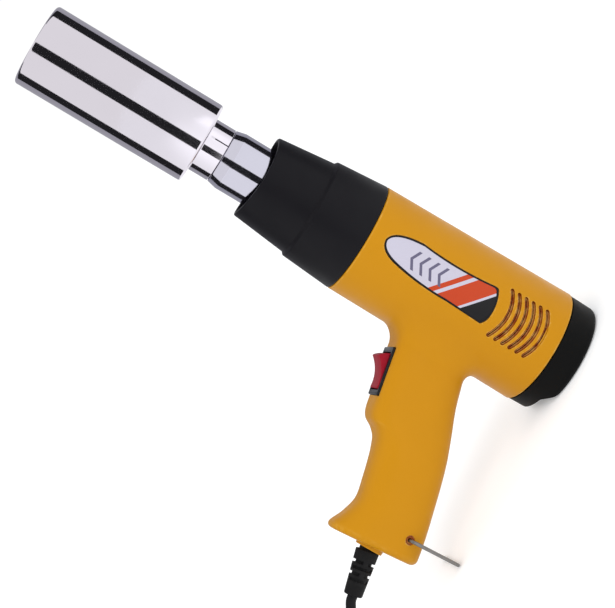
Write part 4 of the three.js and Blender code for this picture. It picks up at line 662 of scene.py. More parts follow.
class WearAndHighlight(Effect):
    """A piece's proud edges, broken up by a noise: where hands and the bench have rubbed it, and on the
    yellow shell also a painted highlight along its rounded edges.
    """

    name = "edge_wear_and_highlight"
    takes = (("Vector", "NodeSocketVector"), ("Edge", "NodeSocketFloat"),
             ("Scale", "NodeSocketFloat"), ("Amount", "NodeSocketFloat"))
    gives = (("Mask", "NodeSocketFloat"),)

    def write(self, sheet: NodeSheet, given: bpy.types.Node, result: bpy.types.Node) -> None:
        """Multiplies the edge by a patchy noise."""
        patches = sheet.noise(given.outputs["Vector"], given.outputs["Scale"], 3.0)
        patchy = sheet.math("MULTIPLY", sheet.math("SUBTRACT", patches, 0.35), 3.0)
        wear_and_highlight_mask = sheet.math("MULTIPLY", patchy, given.outputs["Edge"])
        node = sheet.add("ShaderNodeMath", operation="MULTIPLY", use_clamp=True)
        sheet.join(wear_and_highlight_mask, node.inputs[0])
        sheet.join(given.outputs["Amount"], node.inputs[1])
        sheet.join(node.outputs[0], result.inputs["Mask"])


class Smears(Effect):
    """Uneven gloss where a surface has been wiped and touched."""

    name = "wiped_gloss"
    takes = (("Vector", "NodeSocketVector"), ("Scale", "NodeSocketFloat"),
             ("Low", "NodeSocketFloat"), ("High", "NodeSocketFloat"))
    gives = (("Roughness", "NodeSocketFloat"),)

    def write(self, sheet: NodeSheet, given: bpy.types.Node, result: bpy.types.Node) -> None:
        """Moves the roughness between its two limits by a soft noise."""
        cloud = sheet.noise(given.outputs["Vector"], given.outputs["Scale"], 4.0)
        limits = sheet.add("ShaderNodeMapRange")
        limits.inputs["From Min"].default_value = 0.3
        limits.inputs["From Max"].default_value = 0.7
        sheet.join(cloud, limits.inputs["Value"])
        sheet.join(given.outputs["Low"], limits.inputs["To Min"])
        sheet.join(given.outputs["High"], limits.inputs["To Max"])
        sheet.join(limits.outputs["Result"], result.inputs["Roughness"])


@dataclass(frozen=True)
class Finish:
    """A finish: colour, gloss, grain, and how its proud edges are marked lighter, by wear and, on the yellow
    shell, by a painted highlight.

    Colours are screen colours of 0 to 255, sizes are in millimetres, and mottle and worn are shares.
    """

    name: str
    colour: Triple
    roughness: Pair
    metallic: float = 0.0
    mottle: float = 0.06
    mottle_size: float = 22.0
    grain_size: float = 0.45
    grain_height: float = 0.006
    # Lighter proud edges: wear, and on the yellow shell also a painted highlight.
    wear_and_highlight: float = 0.0
    wear_and_highlight_colour: Triple = (255, 255, 255)
    wear_and_highlight_size: float = 4.0
    specular: float = 0.5

    def stretched(self, sheet: NodeSheet, coords: Socket) -> Socket:
        """The coordinates that the grain follows; a subclass may stretch them."""
        return coords

    def painted(self, sheet: NodeSheet, coords: Socket) -> Socket:
        """The colour before wear, as a socket."""
        values = {"Vector": coords, "Colour": linear(self.colour), "Scale": 1 / (self.mottle_size * MM)}
        return Mottle().placed(sheet, Amount=self.mottle, **values).outputs["Colour"]

    def material(self) -> bpy.types.Material:
        """The finish's material, which is built on its first use."""
        known = bpy.data.materials.get(self.name)
        if known:
            return known
        material = bpy.data.materials.new(self.name)
        material.use_nodes = True
        sheet = NodeSheet(material.node_tree)
        coords = sheet.add("ShaderNodeTexCoord").outputs["Object"]
        surface = sheet.add("ShaderNodeBsdfPrincipled")
        surface.inputs["Metallic"].default_value = self.metallic
        surface.inputs["Specular IOR Level"].default_value = self.specular
        colour = self.painted(sheet, coords)
        low, high = self.roughness
        smear_scale = 1 / (self.mottle_size * 0.7 * MM)
        gloss = Smears().placed(sheet, Vector=coords, Scale=smear_scale, Low=low, High=high)
        # Proud edges made lighter: wear, and on the yellow shell a painted highlight.
        if self.wear_and_highlight:
            edge = sheet.add("ShaderNodeAttribute", attribute_name=EDGE_LAYER).outputs["Fac"]
            wear_and_highlight_mask = WearAndHighlight().placed(
                sheet, Vector=coords, Edge=edge, Scale=1 / (self.wear_and_highlight_size * MM), Amount=self.wear_and_highlight)
            colour = sheet.mixed(wear_and_highlight_mask.outputs["Mask"], colour, linear(self.wear_and_highlight_colour))
        sheet.join(colour, surface.inputs["Base Color"])
        sheet.join(gloss.outputs["Roughness"], surface.inputs["Roughness"])
        relief = Grain().placed(sheet, Vector=self.stretched(sheet, coords), Scale=1 / (self.grain_size * MM))
        bump = sheet.add("ShaderNodeBump")
        bump.inputs["Distance"].default_value = self.grain_height * MM
        sheet.join(relief.outputs["Height"], bump.inputs["Height"])
        sheet.join(bump.outputs["Normal"], surface.inputs["Normal"])
        output = sheet.add("ShaderNodeOutputMaterial")
        sheet.join(surface.outputs["BSDF"], output.inputs["Surface"])
        return material


@dataclass(frozen=True)
class DrawnMetal(Finish):
    """Metal whose fine lines run along one axis or round it."""

    lines: Triple = (1.0, 1.0, 1.0)

    def stretched(self, sheet: NodeSheet, coords: Socket) -> Socket:
        """Squeezes the coordinates across the lines."""
        mapping = sheet.add("ShaderNodeMapping")
        mapping.inputs["Scale"].default_value = self.lines
        sheet.join(coords, mapping.inputs["Vector"])
        return mapping.outputs["Vector"]


@dataclass(frozen=True)
class PlateFilm(Finish):
    """Printed film of the plate: slanted blocks and a row of chevrons in plain colours on a pale ground."""

    blocks: tuple[tuple[float, float, Triple], ...] = (
        (-20, 9, (12, 11, 15)), (11, 26, (178, 58, 20)), (29, 33, (178, 58, 20)),
    )
    ink: Triple = (92, 88, 112)
    rear: float = 65.0
    slant: float = 0.9
    chevrons: Pair = (36.0, 62.0)
    chevron_pitch: float = 6.5
    chevron_reach: float = 6.2
    chevron_point: float = 0.55
    chevron_share: float = 0.3

    def painted(self, sheet: NodeSheet, coords: Socket) -> Socket:
        """Lays the print over the pale ground, measured along the plate in millimetres."""
        ground = super().painted(sheet, coords)
        x, _, z = sheet.apart(coords)
        along = sheet.math("SUBTRACT", z, self.rear)
        slanted = sheet.math("MULTIPLY_ADD", x, self.slant, along)
        for start, end, colour in self.blocks:
            ground = sheet.mixed(sheet.between(slanted, start, end), ground, linear(colour))
        aside = sheet.math("ABSOLUTE", x)
        pointed = sheet.math("MULTIPLY_ADD", aside, self.chevron_point, along)
        phase = sheet.math("FRACT", sheet.math("MULTIPLY", pointed, 1 / self.chevron_pitch))
        row = sheet.math("MULTIPLY", sheet.between(pointed, *self.chevrons),
                         sheet.between(aside, -1, self.chevron_reach))
        marks = sheet.math("MULTIPLY", row, sheet.between(phase, 0.0, self.chevron_share))
        return sheet.mixed(marks, ground, linear(self.ink))


@dataclass(frozen=True)
class ShellPlastic(Finish):
    """The shell's plastic, with painted shade: darker and redder down in its slots and round the bail's ends,
    where shade falls.
    """

    # Painted shade: the dark red-brown mixed into the vent slots and the bail recesses.
    deep: Triple = (128, 52, 8)
    rear: float = 17.8
    rear_radius: float = 38.1
    taper: float = 2.0 / 134.7
    depths: Pair = (0.3, 0.9)
    vents: Triple = (30.0, 64.0, 18.5)
    recess_reach: float = 3.2

    def painted(self, sheet: NodeSheet, coords: Socket) -> Socket:
        """Mixes the painted shade colour in by how far a point lies below the surface."""
        ground = super().painted(sheet, coords)
        x, y, z = sheet.apart(coords)
        surface = sheet.math("MULTIPLY_ADD", z, -self.taper, self.rear_radius + self.rear * self.taper)
        depth = sheet.math("SUBTRACT", surface, sheet.across(x, y))
        low, high, wide = self.vents
        narrow = sheet.math("LESS_THAN", sheet.math("ABSOLUTE", x), wide)
        slots = sheet.math("MULTIPLY", sheet.between(z, low, high), narrow)
        sunk = sheet.math("MULTIPLY", self.ramp(sheet, depth), slots)
        near = sheet.across(*(sheet.math("SUBTRACT", a, b) for a, b in zip((x, z), BAIL_PIVOT)))
        inside = sheet.math("SUBTRACT", GRIP_HALF_WIDTH, sheet.math("ABSOLUTE", y))
        close = sheet.math("LESS_THAN", near, self.recess_reach)
        hole = sheet.math("MULTIPLY", self.ramp(sheet, inside), close)
        # Painted shade in the vent slots and round the bail's ends.
        return sheet.mixed(sheet.math("MAXIMUM", sunk, hole), ground, linear(self.deep))

    def ramp(self, sheet: NodeSheet, depth: Socket) -> Socket:
        """0 down to the first depth and 1 from the second on."""
        limits = sheet.add("ShaderNodeMapRange")
        limits.inputs["From Min"].default_value, limits.inputs["From Max"].default_value = self.depths
        sheet.join(depth, limits.inputs["Value"])
        return limits.outputs["Result"]


# The yellow's lighter proud edges are partly wear and partly a painted highlight, as along the barrel's
# rounded rear edge.
YELLOW = ShellPlastic("yellow_moulding", (184, 126, 5), (0.36, 0.48), mottle=0.05, wear_and_highlight=0.6,
                      wear_and_highlight_colour=(216, 176, 96), specular=0.15)
BLACK = Finish("moulded_black", (13, 12, 17), (0.42, 0.56), mottle=0.12, grain_size=0.6,
               grain_height=0.012, specular=0.15)
CAP_BLACK = Finish("cap_black", (7, 7, 7), (0.46, 0.6), mottle=0.12, grain_size=0.6,
                   grain_height=0.012, specular=0.1)
SWITCH_BLACK = Finish("switch_black", (12, 12, 14), (0.28, 0.4), mottle=0.08, wear_and_highlight=0.4,
                      wear_and_highlight_colour=(46, 46, 50), specular=0.25)
ROCKER_RED = Finish("rocker_red", (142, 12, 32), (0.42, 0.52), mottle=0.08, grain_height=0.002,
                    wear_and_highlight=0.2, wear_and_highlight_colour=(168, 44, 60), specular=0.12)
CHROME = DrawnMetal("mirror_steel", (213, 208, 216), (0.055, 0.085), metallic=1.0, mottle=0.03,
                    grain_size=0.5, grain_height=0.0002, lines=(1.0, 1.0, 0.2))
TUBE_CHROME = DrawnMetal("tube_steel", (203, 201, 214), (0.07, 0.11), metallic=1.0, mottle=0.04,
                         grain_size=0.5, grain_height=0.0002, lines=(1.0, 1.0, 0.2))
WIRE = DrawnMetal("bail_wire", (128, 126, 124), (0.28, 0.42), metallic=1.0, mottle=0.1, mottle_size=6,
                  grain_size=0.3, grain_height=0.003, lines=(1.0, 1.0, 0.2))
RUBBER = Finish("relief_rubber", (13, 13, 14), (0.55, 0.7), mottle=0.12, grain_size=0.35,
                grain_height=0.012, wear_and_highlight=0.4, wear_and_highlight_colour=(40, 39, 40), specular=0.2)
CORD_SKIN = Finish("lead_sheath", (15, 15, 17), (0.48, 0.62), mottle=0.14, grain_size=0.5,
                   grain_height=0.008, specular=0.2)
TIE = Finish("tie_nylon", (18, 18, 20), (0.35, 0.45), mottle=0.08, wear_and_highlight=0.3, wear_and_highlight_colour=(60, 60, 62))
FILM = PlateFilm("plate_film", (182, 179, 194), (0.3, 0.4), mottle=0.03, grain_height=0.002, specular=0.25)
FILM_EDGE = Finish("plate_keyline", (14, 13, 16), (0.3, 0.4), mottle=0.05, grain_height=0.002, specular=0.2)
BRASS = DrawnMetal("pin_brass", (196, 164, 98), (0.18, 0.3), metallic=1.0, mottle=0.08, mottle_size=5,
                   grain_height=0.002, wear_and_highlight=0.3, wear_and_highlight_colour=(228, 206, 150), lines=(0.3, 1.0, 1.0))
ZINC = Finish("zinc_screw", (150, 150, 152), (0.26, 0.4), metallic=1.0, mottle=0.12, mottle_size=3,
              grain_height=0.003, wear_and_highlight=0.5, wear_and_highlight_colour=(196, 196, 198))
MOTOR_STEEL = DrawnMetal("pressed_steel", (150, 152, 156), (0.28, 0.42), metallic=1.0, mottle=0.1,
                         grain_height=0.003, lines=(1.0, 1.0, 0.3))
MAGNET = Finish("ferrite", (58, 58, 62), (0.6, 0.75), mottle=0.15, grain_size=0.3, grain_height=0.02)
GREY = Finish("moulded_grey", (86, 88, 92), (0.45, 0.6), mottle=0.08, grain_height=0.01)
MICA = Finish("mica_sheet", (190, 176, 146), (0.35, 0.6), mottle=0.3, mottle_size=4, grain_size=1.2,
              grain_height=0.02)
ELEMENT = Finish("element_wire", (96, 90, 88), (0.4, 0.55), metallic=1.0, mottle=0.25, mottle_size=8)
BOARD = Finish("circuit_board", (44, 88, 56), (0.3, 0.45), mottle=0.1, mottle_size=3)
LEAD_SKIN = Finish("inner_lead", (140, 52, 44), (0.4, 0.55), mottle=0.08, grain_height=0.004)


def dressed(piece: Piece, finish: Finish, body: str, slot: str, *stands_for: str) -> Piece:
    """Gives a finished piece its material and its place in the assembly.

    Args:
        piece: the finished piece.
        finish: its finish.
        body: the CAD body that carries it.
        slot: the record's material slot; not used.
        stands_for: the CAD nodes that it replaces.

    Returns:
        The same piece.
    """
    if piece.type == "MESH" and finish.wear_and_highlight:
        mark_proud_edges(piece)
    piece.data.materials.clear()
    piece.data.materials.append(finish.material())
    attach(piece, body)
    if stands_for:
        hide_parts(*stands_for)
    if piece.type == "MESH":
        LOG.info("%s: %d faces, rides on %s", piece.name, len(piece.data.polygons), body)
    return piece


# Forms that are drawn by formulae


def through(points: Sequence[Pair]) -> Shape:
    """A smooth curve through points, which never swings past them.

    Args:
        points: pairs of a place and its value.

    Returns:
        A function from places to values.
    """
    xs, ys = np.array(sorted(points)).T
    steps = np.diff(xs)
    rises = np.diff(ys) / steps
    product = rises[:-1] * rises[1:]
    total = np.where(product > 0, rises[:-1] + rises[1:], 1)
    inner = np.where(product > 0, 2 * product / total, 0)
    slopes = np.concatenate([rises[:1], inner, rises[-1:]])

    def curve(at: np.ndarray) -> np.ndarray:
        """Reads the curve at some places."""
        at = np.clip(at, xs[0], xs[-1])
        i = np.clip(np.searchsorted(xs, at, side="right") - 1, 0, len(steps) - 1)
        t = (at - xs[i]) / steps[i]
        value = ys[i] * (1 + 2 * t) * (1 - t) ** 2 + slopes[i] * steps[i] * t * (1 - t) ** 2
        return value + ys[i + 1] * t * t * (3 - 2 * t) + slopes[i + 1] * steps[i] * t * t * (t - 1)

    return curve


def slope_of(shape: Shape, at: np.ndarray, step: float = 0.05) -> np.ndarray:
    """The direction and rate in which a shape's value grows at some points."""
    moves = np.eye(3) * step
    return np.stack([(shape(at + move) - shape(at - move)) / (2 * step) for move in moves], axis=1)


def distance_to(shape: Shape, at: np.ndarray) -> np.ndarray:
    """A shape's value turned into a distance from its surface, near enough for roundings."""
    rate = np.linalg.norm(slope_of(shape, at), axis=1)
    return shape(at) / np.maximum(rate, 0.3)


def rounded_sum(first: np.ndarray, second: np.ndarray, radius: object) -> np.ndarray:
    """Two shapes as one, with a hollow rounding where they meet."""
    reach = np.hypot(np.maximum(radius - first, 0), np.maximum(radius - second, 0))
    return np.maximum(radius, np.minimum(first, second)) - reach


def rounded_common(first: np.ndarray, second: np.ndarray, radius: float) -> np.ndarray:
    """What two shapes share, with a rounding along their common edge."""
    reach = np.hypot(np.maximum(radius + first, 0), np.maximum(radius + second, 0))
    return np.minimum(-radius, np.maximum(first, second)) + reach


def settle(piece: Piece, shape: Shape, free: Callable[[np.ndarray], np.ndarray], rounds: int) -> None:
    """Moves a mesh's points onto a shape's surface.

    Args:
        piece: the piece whose mesh is moved.
        shape: the shape, as a value that is 0 on its surface.
        free: which points may move.
        rounds: how often the move is repeated.
    """
    flat = np.empty(len(piece.data.vertices) * 3)
    piece.data.vertices.foreach_get("co", flat)
    points = flat.reshape(-1, 3) / MM
    loose = free(points)
    for _ in range(rounds):
        at = points[loose]
        slope = slope_of(shape, at)
        steep = np.maximum((slope**2).sum(axis=1), 0.1)
        move = slope * (shape(at) / steep)[:, None]
        reach = np.maximum(np.linalg.norm(move, axis=1), 1e-9)
        points[loose] = at - move * np.minimum(1, 1.5 / reach)[:, None]
    piece.data.vertices.foreach_set("co", (points * MM).ravel())
    piece.data.update()


# Sub-assemblies


@dataclass
class SwitchSeat:
    """Where the rocker switch sits in the grip: local X runs to the barrel, local Z out of its face."""

    x: float = -64.1
    z: float = 99.8
    tilt: float = 9.7

    def place(self) -> Matrix:
        """The switch's place as a matrix in metres."""
        return shift(self.x, 0, self.z) @ turn_about("Y", -self.tilt)


@dataclass
class LeadExit:
    """Where the lead leaves the foot of the grip: local Z runs out along the strain relief."""

    x: float = -163.5
    z: float = 51.7
    tilt: float = 10.9

    def place(self) -> Matrix:
        """The strain relief's place as a matrix in metres."""
        return shift(self.x, 0, self.z) @ turn_about("Y", -90 - self.tilt)

    def along(self, distance: float) -> Vector:
        """A point on the relief's axis, in millimetres."""
        return (self.place() @ Vector((0, 0, distance * MM))) / MM


@dataclass
class Housing:
    """The yellow shell: a tapered barrel and a grip, in two halves, with its vents and its plate."""

    rear: float = 19.0
    front: float = 153.6
    rear_radius: float = 38.1
    front_radius: float = 36.1
    edge: float = 0.7
    wall: float = 2.4
    neck_radius: float = 33.2
    neck_length: float = 10.4
    chamfer: float = 0.7
    half_width: float = GRIP_HALF_WIDTH
    reach: float = 161.3
    foot_rounding: float = 4.5
    foot_tilt: float = 4.0
    root_rounding: float = 9.0
    cheek_rounding: float = 12.0
    front_edge: tuple[Pair, ...] = (
        (-20, 106), (-47, 101.8), (-81, 96.2), (-89, 94.6), (-93, 92.4), (-96.8, 86.8), (-101.5, 82.8),
        (-107, 80.9), (-126.6, 76), (-139, 73.8), (-150.5, 76.8), (-158.6, 80.9), (-164, 83),
    )
    back_edge: tuple[Pair, ...] = (
        (-20, 58), (-46.5, 51), (-61, 47.1), (-80, 40), (-94, 35.1), (-122, 28.1), (-147, 22.8),
        (-164, 20.2),
    )
    voxel: float = 1.15
    vent_count: int = 6
    vent_first: float = 34.3
    vent_pitch: float = 5.1
    vent_span: float = 30.8
    vent_sag: float = 4.0
    vent_width: float = 2.8
    vent_gap: float = 0.6
    vent_depth: float = 1.1
    plate_rear: float = 65.0
    plate_length: float = 79.0
    plate_width: float = 25.0
    plate_thickness: float = 0.6
    plate_sunk: float = 0.1
    plate_border: float = 1.0
    screw_places: tuple[Pair, ...] = ((30, 34), (30, 119), (-30, 119), (-30.5, 34), (-97, 60), (-150, 69.5))
    screw_seat: float = 8.0
    screw_bore: float = 1.7
    counterbore: float = 3.2
    boss_radius: float = 4.8
    groove_ribs: tuple[Pair, ...] = ((31.3, 125.7), (31.3, 129.1), (32.5, 80.0), (32.5, 84.2))
    rib_width: float = 2.0
    bail_bore: float = 1.35
    bail_recess: Pair = (2.8, 1.6)
    bail_boss: Pair = (4.0, 10.3)
    collar: Triple = (9.3, 8.9, 2.2)
    lead_bore: float = 5.9
    switch_seat: Triple = (16.0, 12.3, 2.1)
    switch_well: Pair = (14.4, 10.8)
    clamp_posts: tuple[Pair, ...] = ((-138, 46.02), (-138, 65.02))
    post_radius: float = 3.4
    post_end: float = 3.2
    parting: float = 0.3
    seat: SwitchSeat = field(default_factory=SwitchSeat)
    exit: LeadExit = field(default_factory=LeadExit)

    def __post_init__(self) -> None:
        """Makes the grip's two edge curves."""
        self.upper = through(self.front_edge)
        self.lower = through(self.back_edge)
        self.foot_slope = math.tan(math.radians(self.foot_tilt))

    def barrel_radius(self, z: float) -> float:
        """The barrel's radius at a height."""
        growth = self.front_radius - self.rear_radius
        return self.rear_radius + growth * (z - self.rear) / (self.front - self.rear)

    def squareness(self, x: np.ndarray) -> np.ndarray:
        """Power of the grip's rounded section on its front side, flatter behind the switch."""
        return 2.9 + 2.1 * np.clip((x + 110) / 25, 0, 1)

    def outside_grip(self, at: np.ndarray) -> np.ndarray:
        """How far points lie outside the endless grip."""
        x, y, z = at.T
        top, bottom = self.upper(x), self.lower(x)
        middle, half = (top + bottom) / 2, (top - bottom) / 2
        power = np.where(z > middle, self.squareness(x), 2.7)
        size = (np.abs(y / self.half_width) ** power + np.abs((z - middle) / half) ** power) ** (1 / power)
        return (size - 1) * self.half_width

    def outside(self, at: np.ndarray) -> np.ndarray:
        """How far points lie outside the barrel and grip, with the roundings between them."""
        barrel = np.hypot(at[:, 0], at[:, 1]) - self.barrel_radius(at[:, 2])
        grip = distance_to(self.outside_grip, at)
        foot = -at[:, 0] - self.reach - (at[:, 2] - self.exit.z) * self.foot_slope
        grip = rounded_common(grip, foot, self.foot_rounding)
        grip = np.maximum(grip, at[:, 0] - self.front_edge[0][0])
        cheek = np.clip(np.abs(at[:, 1]) / self.half_width, 0, 1) ** 2
        radius = self.root_rounding + (self.cheek_rounding - self.root_rounding) * cheek
        return rounded_sum(barrel, grip, radius)

    def grip_section(self, x: float, inset: float, count: int) -> list[Triple]:
        """One section of the grip, which leans as the foot does towards the end.

        Args:
            x: where the section stands.
            inset: how far it lies inside the surface.
            count: its corners.

        Returns:
            The corners in order.
        """
        top, bottom = float(self.upper(x)) - inset, float(self.lower(x)) + inset
        middle, half = (top + bottom) / 2, (top - bottom) / 2
        lean = self.foot_slope * smoothstep(-x, self.reach - 30, self.reach - self.wall)
        corners = []
        for i in range(count):
            angle = math.tau * (i + 0.5) / count
            across, along = math.cos(angle), math.sin(angle)
            power = 2 / (float(self.squareness(x)) if along > 0 else 2.7)
            y = math.copysign(abs(across) ** power, across) * (self.half_width - inset)
            z = middle + math.copysign(abs(along) ** power, along) * half
            corners.append((x - (z - self.exit.z) * lean, y, z))
        return corners

    def blank(self) -> Piece:
        """The solid barrel and grip, longer than the barrel at both ends."""
        over = 5.0
        low, high = self.rear - over, self.front + over
        profile = [(0, low), (self.barrel_radius(low), low), (self.barrel_radius(high), high), (0, high)]
        solid = turned("shell_blank", profile, 96)
        stations = np.linspace(-20, -self.reach, 60)
        grip = lofted("grip_blank", [self.grip_section(float(x), 0, 48) for x in stations])
        combined(solid, grip, Join.ADD)
        return applied(solid, "REMESH", mode="VOXEL", voxel_size=self.voxel * MM)

    def drawn_out(self, solid: Piece) -> Piece:
        """Evens the blank's mesh out and puts it on the drawn surface."""
        margin = 2.5

        def free(at: np.ndarray) -> np.ndarray:
            """Everything but the spare stretches at the barrel's ends."""
            return (at[:, 2] > self.rear - margin) & (at[:, 2] < self.front + margin)

        for rounds in (8, 3, 2):
            settle(solid, self.outside, free, 3)
            with editing(solid):
                bpy.ops.mesh.select_all(action="SELECT")
                bpy.ops.mesh.vertices_smooth(factor=0.5, repeat=rounds)
        settle(solid, self.outside, free, 4)
        return solid

    def end_cutters(self) -> tuple[Piece, Piece]:
        """Tools that trim the barrel's two ends and round their edges."""
        spare = 10.0
        tools = []
        for name, radius, end, way in (("rear_trim", self.rear_radius, self.rear, 1),
                                       ("front_trim", self.front_radius, self.front, -1)):
            arc = []
            for degrees in (10, 24, 38, 52, 66, 78, 90):
                a = math.radians(degrees)
                inward, along = self.edge * (1 - math.cos(a)), self.edge * (1 - math.sin(a))
                arc.append((radius - inward, end + way * along))
            off = end - way * spare
            tools.append(turned(name, [(0, off), (FAR, off), (FAR, arc[0][1]), *arc, (0, end)], 192))
        return tools[0], tools[1]

    def grip_core(self, inset: float) -> Piece:
        """The grip's solid form at some depth below its surface."""
        stations = np.linspace(-20, -self.reach + inset, 40)
        return lofted("grip_core", [self.grip_section(float(x), inset, 40) for x in stations])

    def room(self) -> Piece:
        """The hollow inside, less the bosses and ribs that stand in it."""
        wall, neck = self.wall, self.neck_radius - self.wall
        end = self.front + self.neck_length + 1
        hollow = turned("room", [
            (0, self.rear - 1), (self.rear_radius - wall, self.rear - 1),
            (self.front_radius - wall, self.front - wall - 1), (neck, self.front - 1), (neck, end), (0, end),
        ], 96)
        combined(hollow, self.grip_core(wall), Join.ADD)
        for place in self.screw_places:
            combined(hollow, cross_rod("boss", self.boss_radius, place, -FAR, FAR))
        over = self.rear_radius + 1
        for radius, z in self.groove_ribs:
            top = z + self.rib_width
            combined(hollow, turned("rib", [(radius, z), (over, z), (over, top), (radius, top)], 96))
        radius, start = self.bail_boss
        for side in (-1, 1):
            combined(hollow, cross_rod("bail_boss", radius, BAIL_PIVOT, side * start, side * 40))
        return hollow

    def vent_outline(self, index: int, width: float) -> list[Pair]:
        """The outline of one arched vent slot with round ends, at some width."""
        radius = (self.vent_span**2 / 4 + self.vent_sag**2) / (2 * self.vent_sag)
        centre = self.vent_first + index * self.vent_pitch - self.vent_sag + radius
        half = math.asin(self.vent_span / 2 / radius)
        thick = width / 2
        arc = [half * (2 * k / 14 - 1) for k in range(15)]
        outline = []
        for side, run in ((1, arc), (-1, arc[::-1])):
            reach = radius + side * thick
            outline += [(reach * math.sin(a), centre - reach * math.cos(a)) for a in run]
            tip = (side * radius * math.sin(half), centre - radius * math.cos(half))
            first = half if side > 0 else math.pi - half
            for k in range(1, 6):
                a = first + math.pi * k / 6
                outline.append((tip[0] + thick * math.sin(a), tip[1] - thick * math.cos(a)))
        return outline

    def plate_outline(self, grow: float) -> list[Pair]:
        """The plate's outline: a square rear, long sides and a front that comes to a rounded point.

        Args:
            grow: how far the outline lies outside the plate's own.

        Returns:
            The outline as x and z.
        """
        w, length = self.plate_width / 2 + grow, self.plate_length
        rear, front = self.plate_rear - grow, self.plate_rear + length + grow
        start = (w - 2, rear + 2.4)
        runs = [
            ((w, rear + 3), (w - 0.3, rear + 6)), ((w - 3.4, rear + 0.4 * length), (w - 0.6, front - 22)),
            ((w - 2, front - 2), (2, front)), ((-w + 7, front), (-w + 4.4, front - 12)),
            ((-w + 0.6, front - 30), (-w + 1, rear + 0.35 * length)), (None, (-w, rear + 3)),
            ((-w + 3, rear), (-w + 7, rear)), ((3, rear - 0.6), start),
        ]
        outline = []
        here = Vector(start)
        for pull, end in runs:
            end = Vector(end)
            pull = (here + end) / 2 if pull is None else Vector(pull)
            for k in range(1, 13):
                t = k / 12
                outline.append(tuple(here * (1 - t) ** 2 + pull * 2 * t * (1 - t) + end * t * t))
            here = end
        return outline

    def core(self, depth: float) -> Piece:
        """The barrel's cone sunk by a depth, as a full-length core."""
        wide, narrow = self.rear_radius - depth, self.front_radius - depth
        profile = [(0, self.rear), (wide, self.rear), (narrow, self.front), (0, self.front)]
        return turned("core", profile, 256)

    def plate(self) -> tuple[Piece, Piece]:
        """The printed field and the dark border round it."""
        top, bottom = self.plate_sunk, self.plate_sunk + self.plate_thickness
        field_piece = prism("plate_field", self.plate_outline(-FIT - self.plate_border), -FAR, 0)
        border = prism("plate_border", self.plate_outline(-FIT), -FAR, 0)
        combined(border, prism("plate_hole", self.plate_outline(-FIT - self.plate_border), -61, 1))
        for piece, sunk in ((field_piece, top + 0.08), (border, top)):
            combined(piece, self.core(sunk), Join.COMMON)
            combined(piece, self.core(bottom))
            smooth(bevelled(piece, 0.08, 1, 40))
        return field_piece, border

    def cut_openings(self, shell: Piece) -> None:
        """Cuts the vents, screw holes, bail holes, switch seat, lead hole and plate recess."""
        slots, grooves = (
            gathered(*(prism(name, self.vent_outline(i, width), -FAR, FAR) for i in range(self.vent_count)))
            for name, width in (("vent", self.vent_gap), ("groove", self.vent_width))
        )
        combined(shell, slots)
        combined(shell, combined(grooves, self.core(self.vent_depth)))
        for place in self.screw_places:
            hole = cross_rod("screw_hole", self.screw_bore, place, -12, self.screw_seat + 1, 16)
            sink = cross_rod("counterbore", self.counterbore, place, self.screw_seat, FAR, 40)
            combined(shell, combined(hole, sink, Join.ADD))
        wide, deep = self.bail_recess
        for side in (-1, 1):
            hole = cross_rod("bail_hole", self.bail_bore, BAIL_PIVOT, side * 11, side * 40, 24)
            start = side * (self.half_width - deep)
            recess = cross_rod("bail_recess", wide, BAIL_PIVOT, start, side * 40, 40)
            combined(shell, combined(hole, recess, Join.ADD))
        a, b, depth = self.switch_seat
        seat = box("switch_seat", (-a, -b, -depth), (a, b, 12))
        a, b = self.switch_well
        well = box("switch_well", (-a, -b, -20), (a, b, 12))
        combined(shell, moved(combined(seat, well, Join.ADD), self.seat.place()))
        combined(shell, moved(rod("lead_hole", self.lead_bore, (0, 0, -20), (0, 0, 5)), self.exit.place()))
        recess = prism("plate_recess", self.plate_outline(0), -FAR, 0)
        combined(shell, combined(recess, self.core(self.plate_sunk + self.plate_thickness + FIT)))

    def halves(self) -> tuple[Piece, Piece]:
        """The two halves of the shell, parted on the middle plane."""
        shell = self.drawn_out(self.blank())
        for trim in self.end_cutters():
            combined(shell, trim)
        start, end = self.front - 3, self.front + self.neck_length
        neck = [(0, start), (self.neck_radius, start), (self.neck_radius, end, 0.4), (0, end)]
        combined(shell, turned("neck", neck, 96), Join.ADD)
        brim, low = self.rear_radius, self.rear
        over = [(brim - self.chamfer - 1, low - 1), (brim + 3, low - 1), (brim + 3, low + self.chamfer + 3)]
        combined(shell, turned("rear_chamfer", over, 160))
        base, rim, height = self.collar
        collar = turned("foot_collar", [(0, -3), (base, -3), (rim, height, 0.5), (0, height)], 64)
        face = shift(-self.reach, 0, self.exit.z) @ turn_about("Y", -90)
        combined(shell, moved(collar, face), Join.ADD)
        combined(shell, self.room())
        self.cut_openings(shell)
        right = copied(shell, "shell_right", Matrix())
        gap = self.parting / 2
        combined(shell, box("left_room", (-300, -FAR, -10), (100, -gap, 400)), Join.COMMON)
        combined(right, box("right_room", (-300, gap, -10), (100, FAR, 400)), Join.COMMON)
        for place in self.clamp_posts:
            post = cross_rod("clamp_post", self.post_radius, place, -self.half_width, self.post_end, 24)
            combined(post, self.grip_core(self.wall / 2), Join.COMMON)
            hole = cross_rod("post_hole", self.screw_bore, place, self.post_end - 10, self.post_end + 1, 16)
            combined(post, hole)
            combined(shell, post, Join.ADD)
        shell.name = "shell_left"
        return shell, right

    def build(self) -> None:
        """Makes both halves and the plate, and dresses them."""
        left, right = self.halves()
        dressed(smooth(left), YELLOW, "housing", "shell", "housing_left")
        dressed(smooth(right), YELLOW, "housing", "shell", "housing_right")
        field_piece, border = self.plate()
        dressed(field_piece, FILM, "housing", "plate", "badge_plate")
        dressed(border, FILM_EDGE, "housing", "plate")


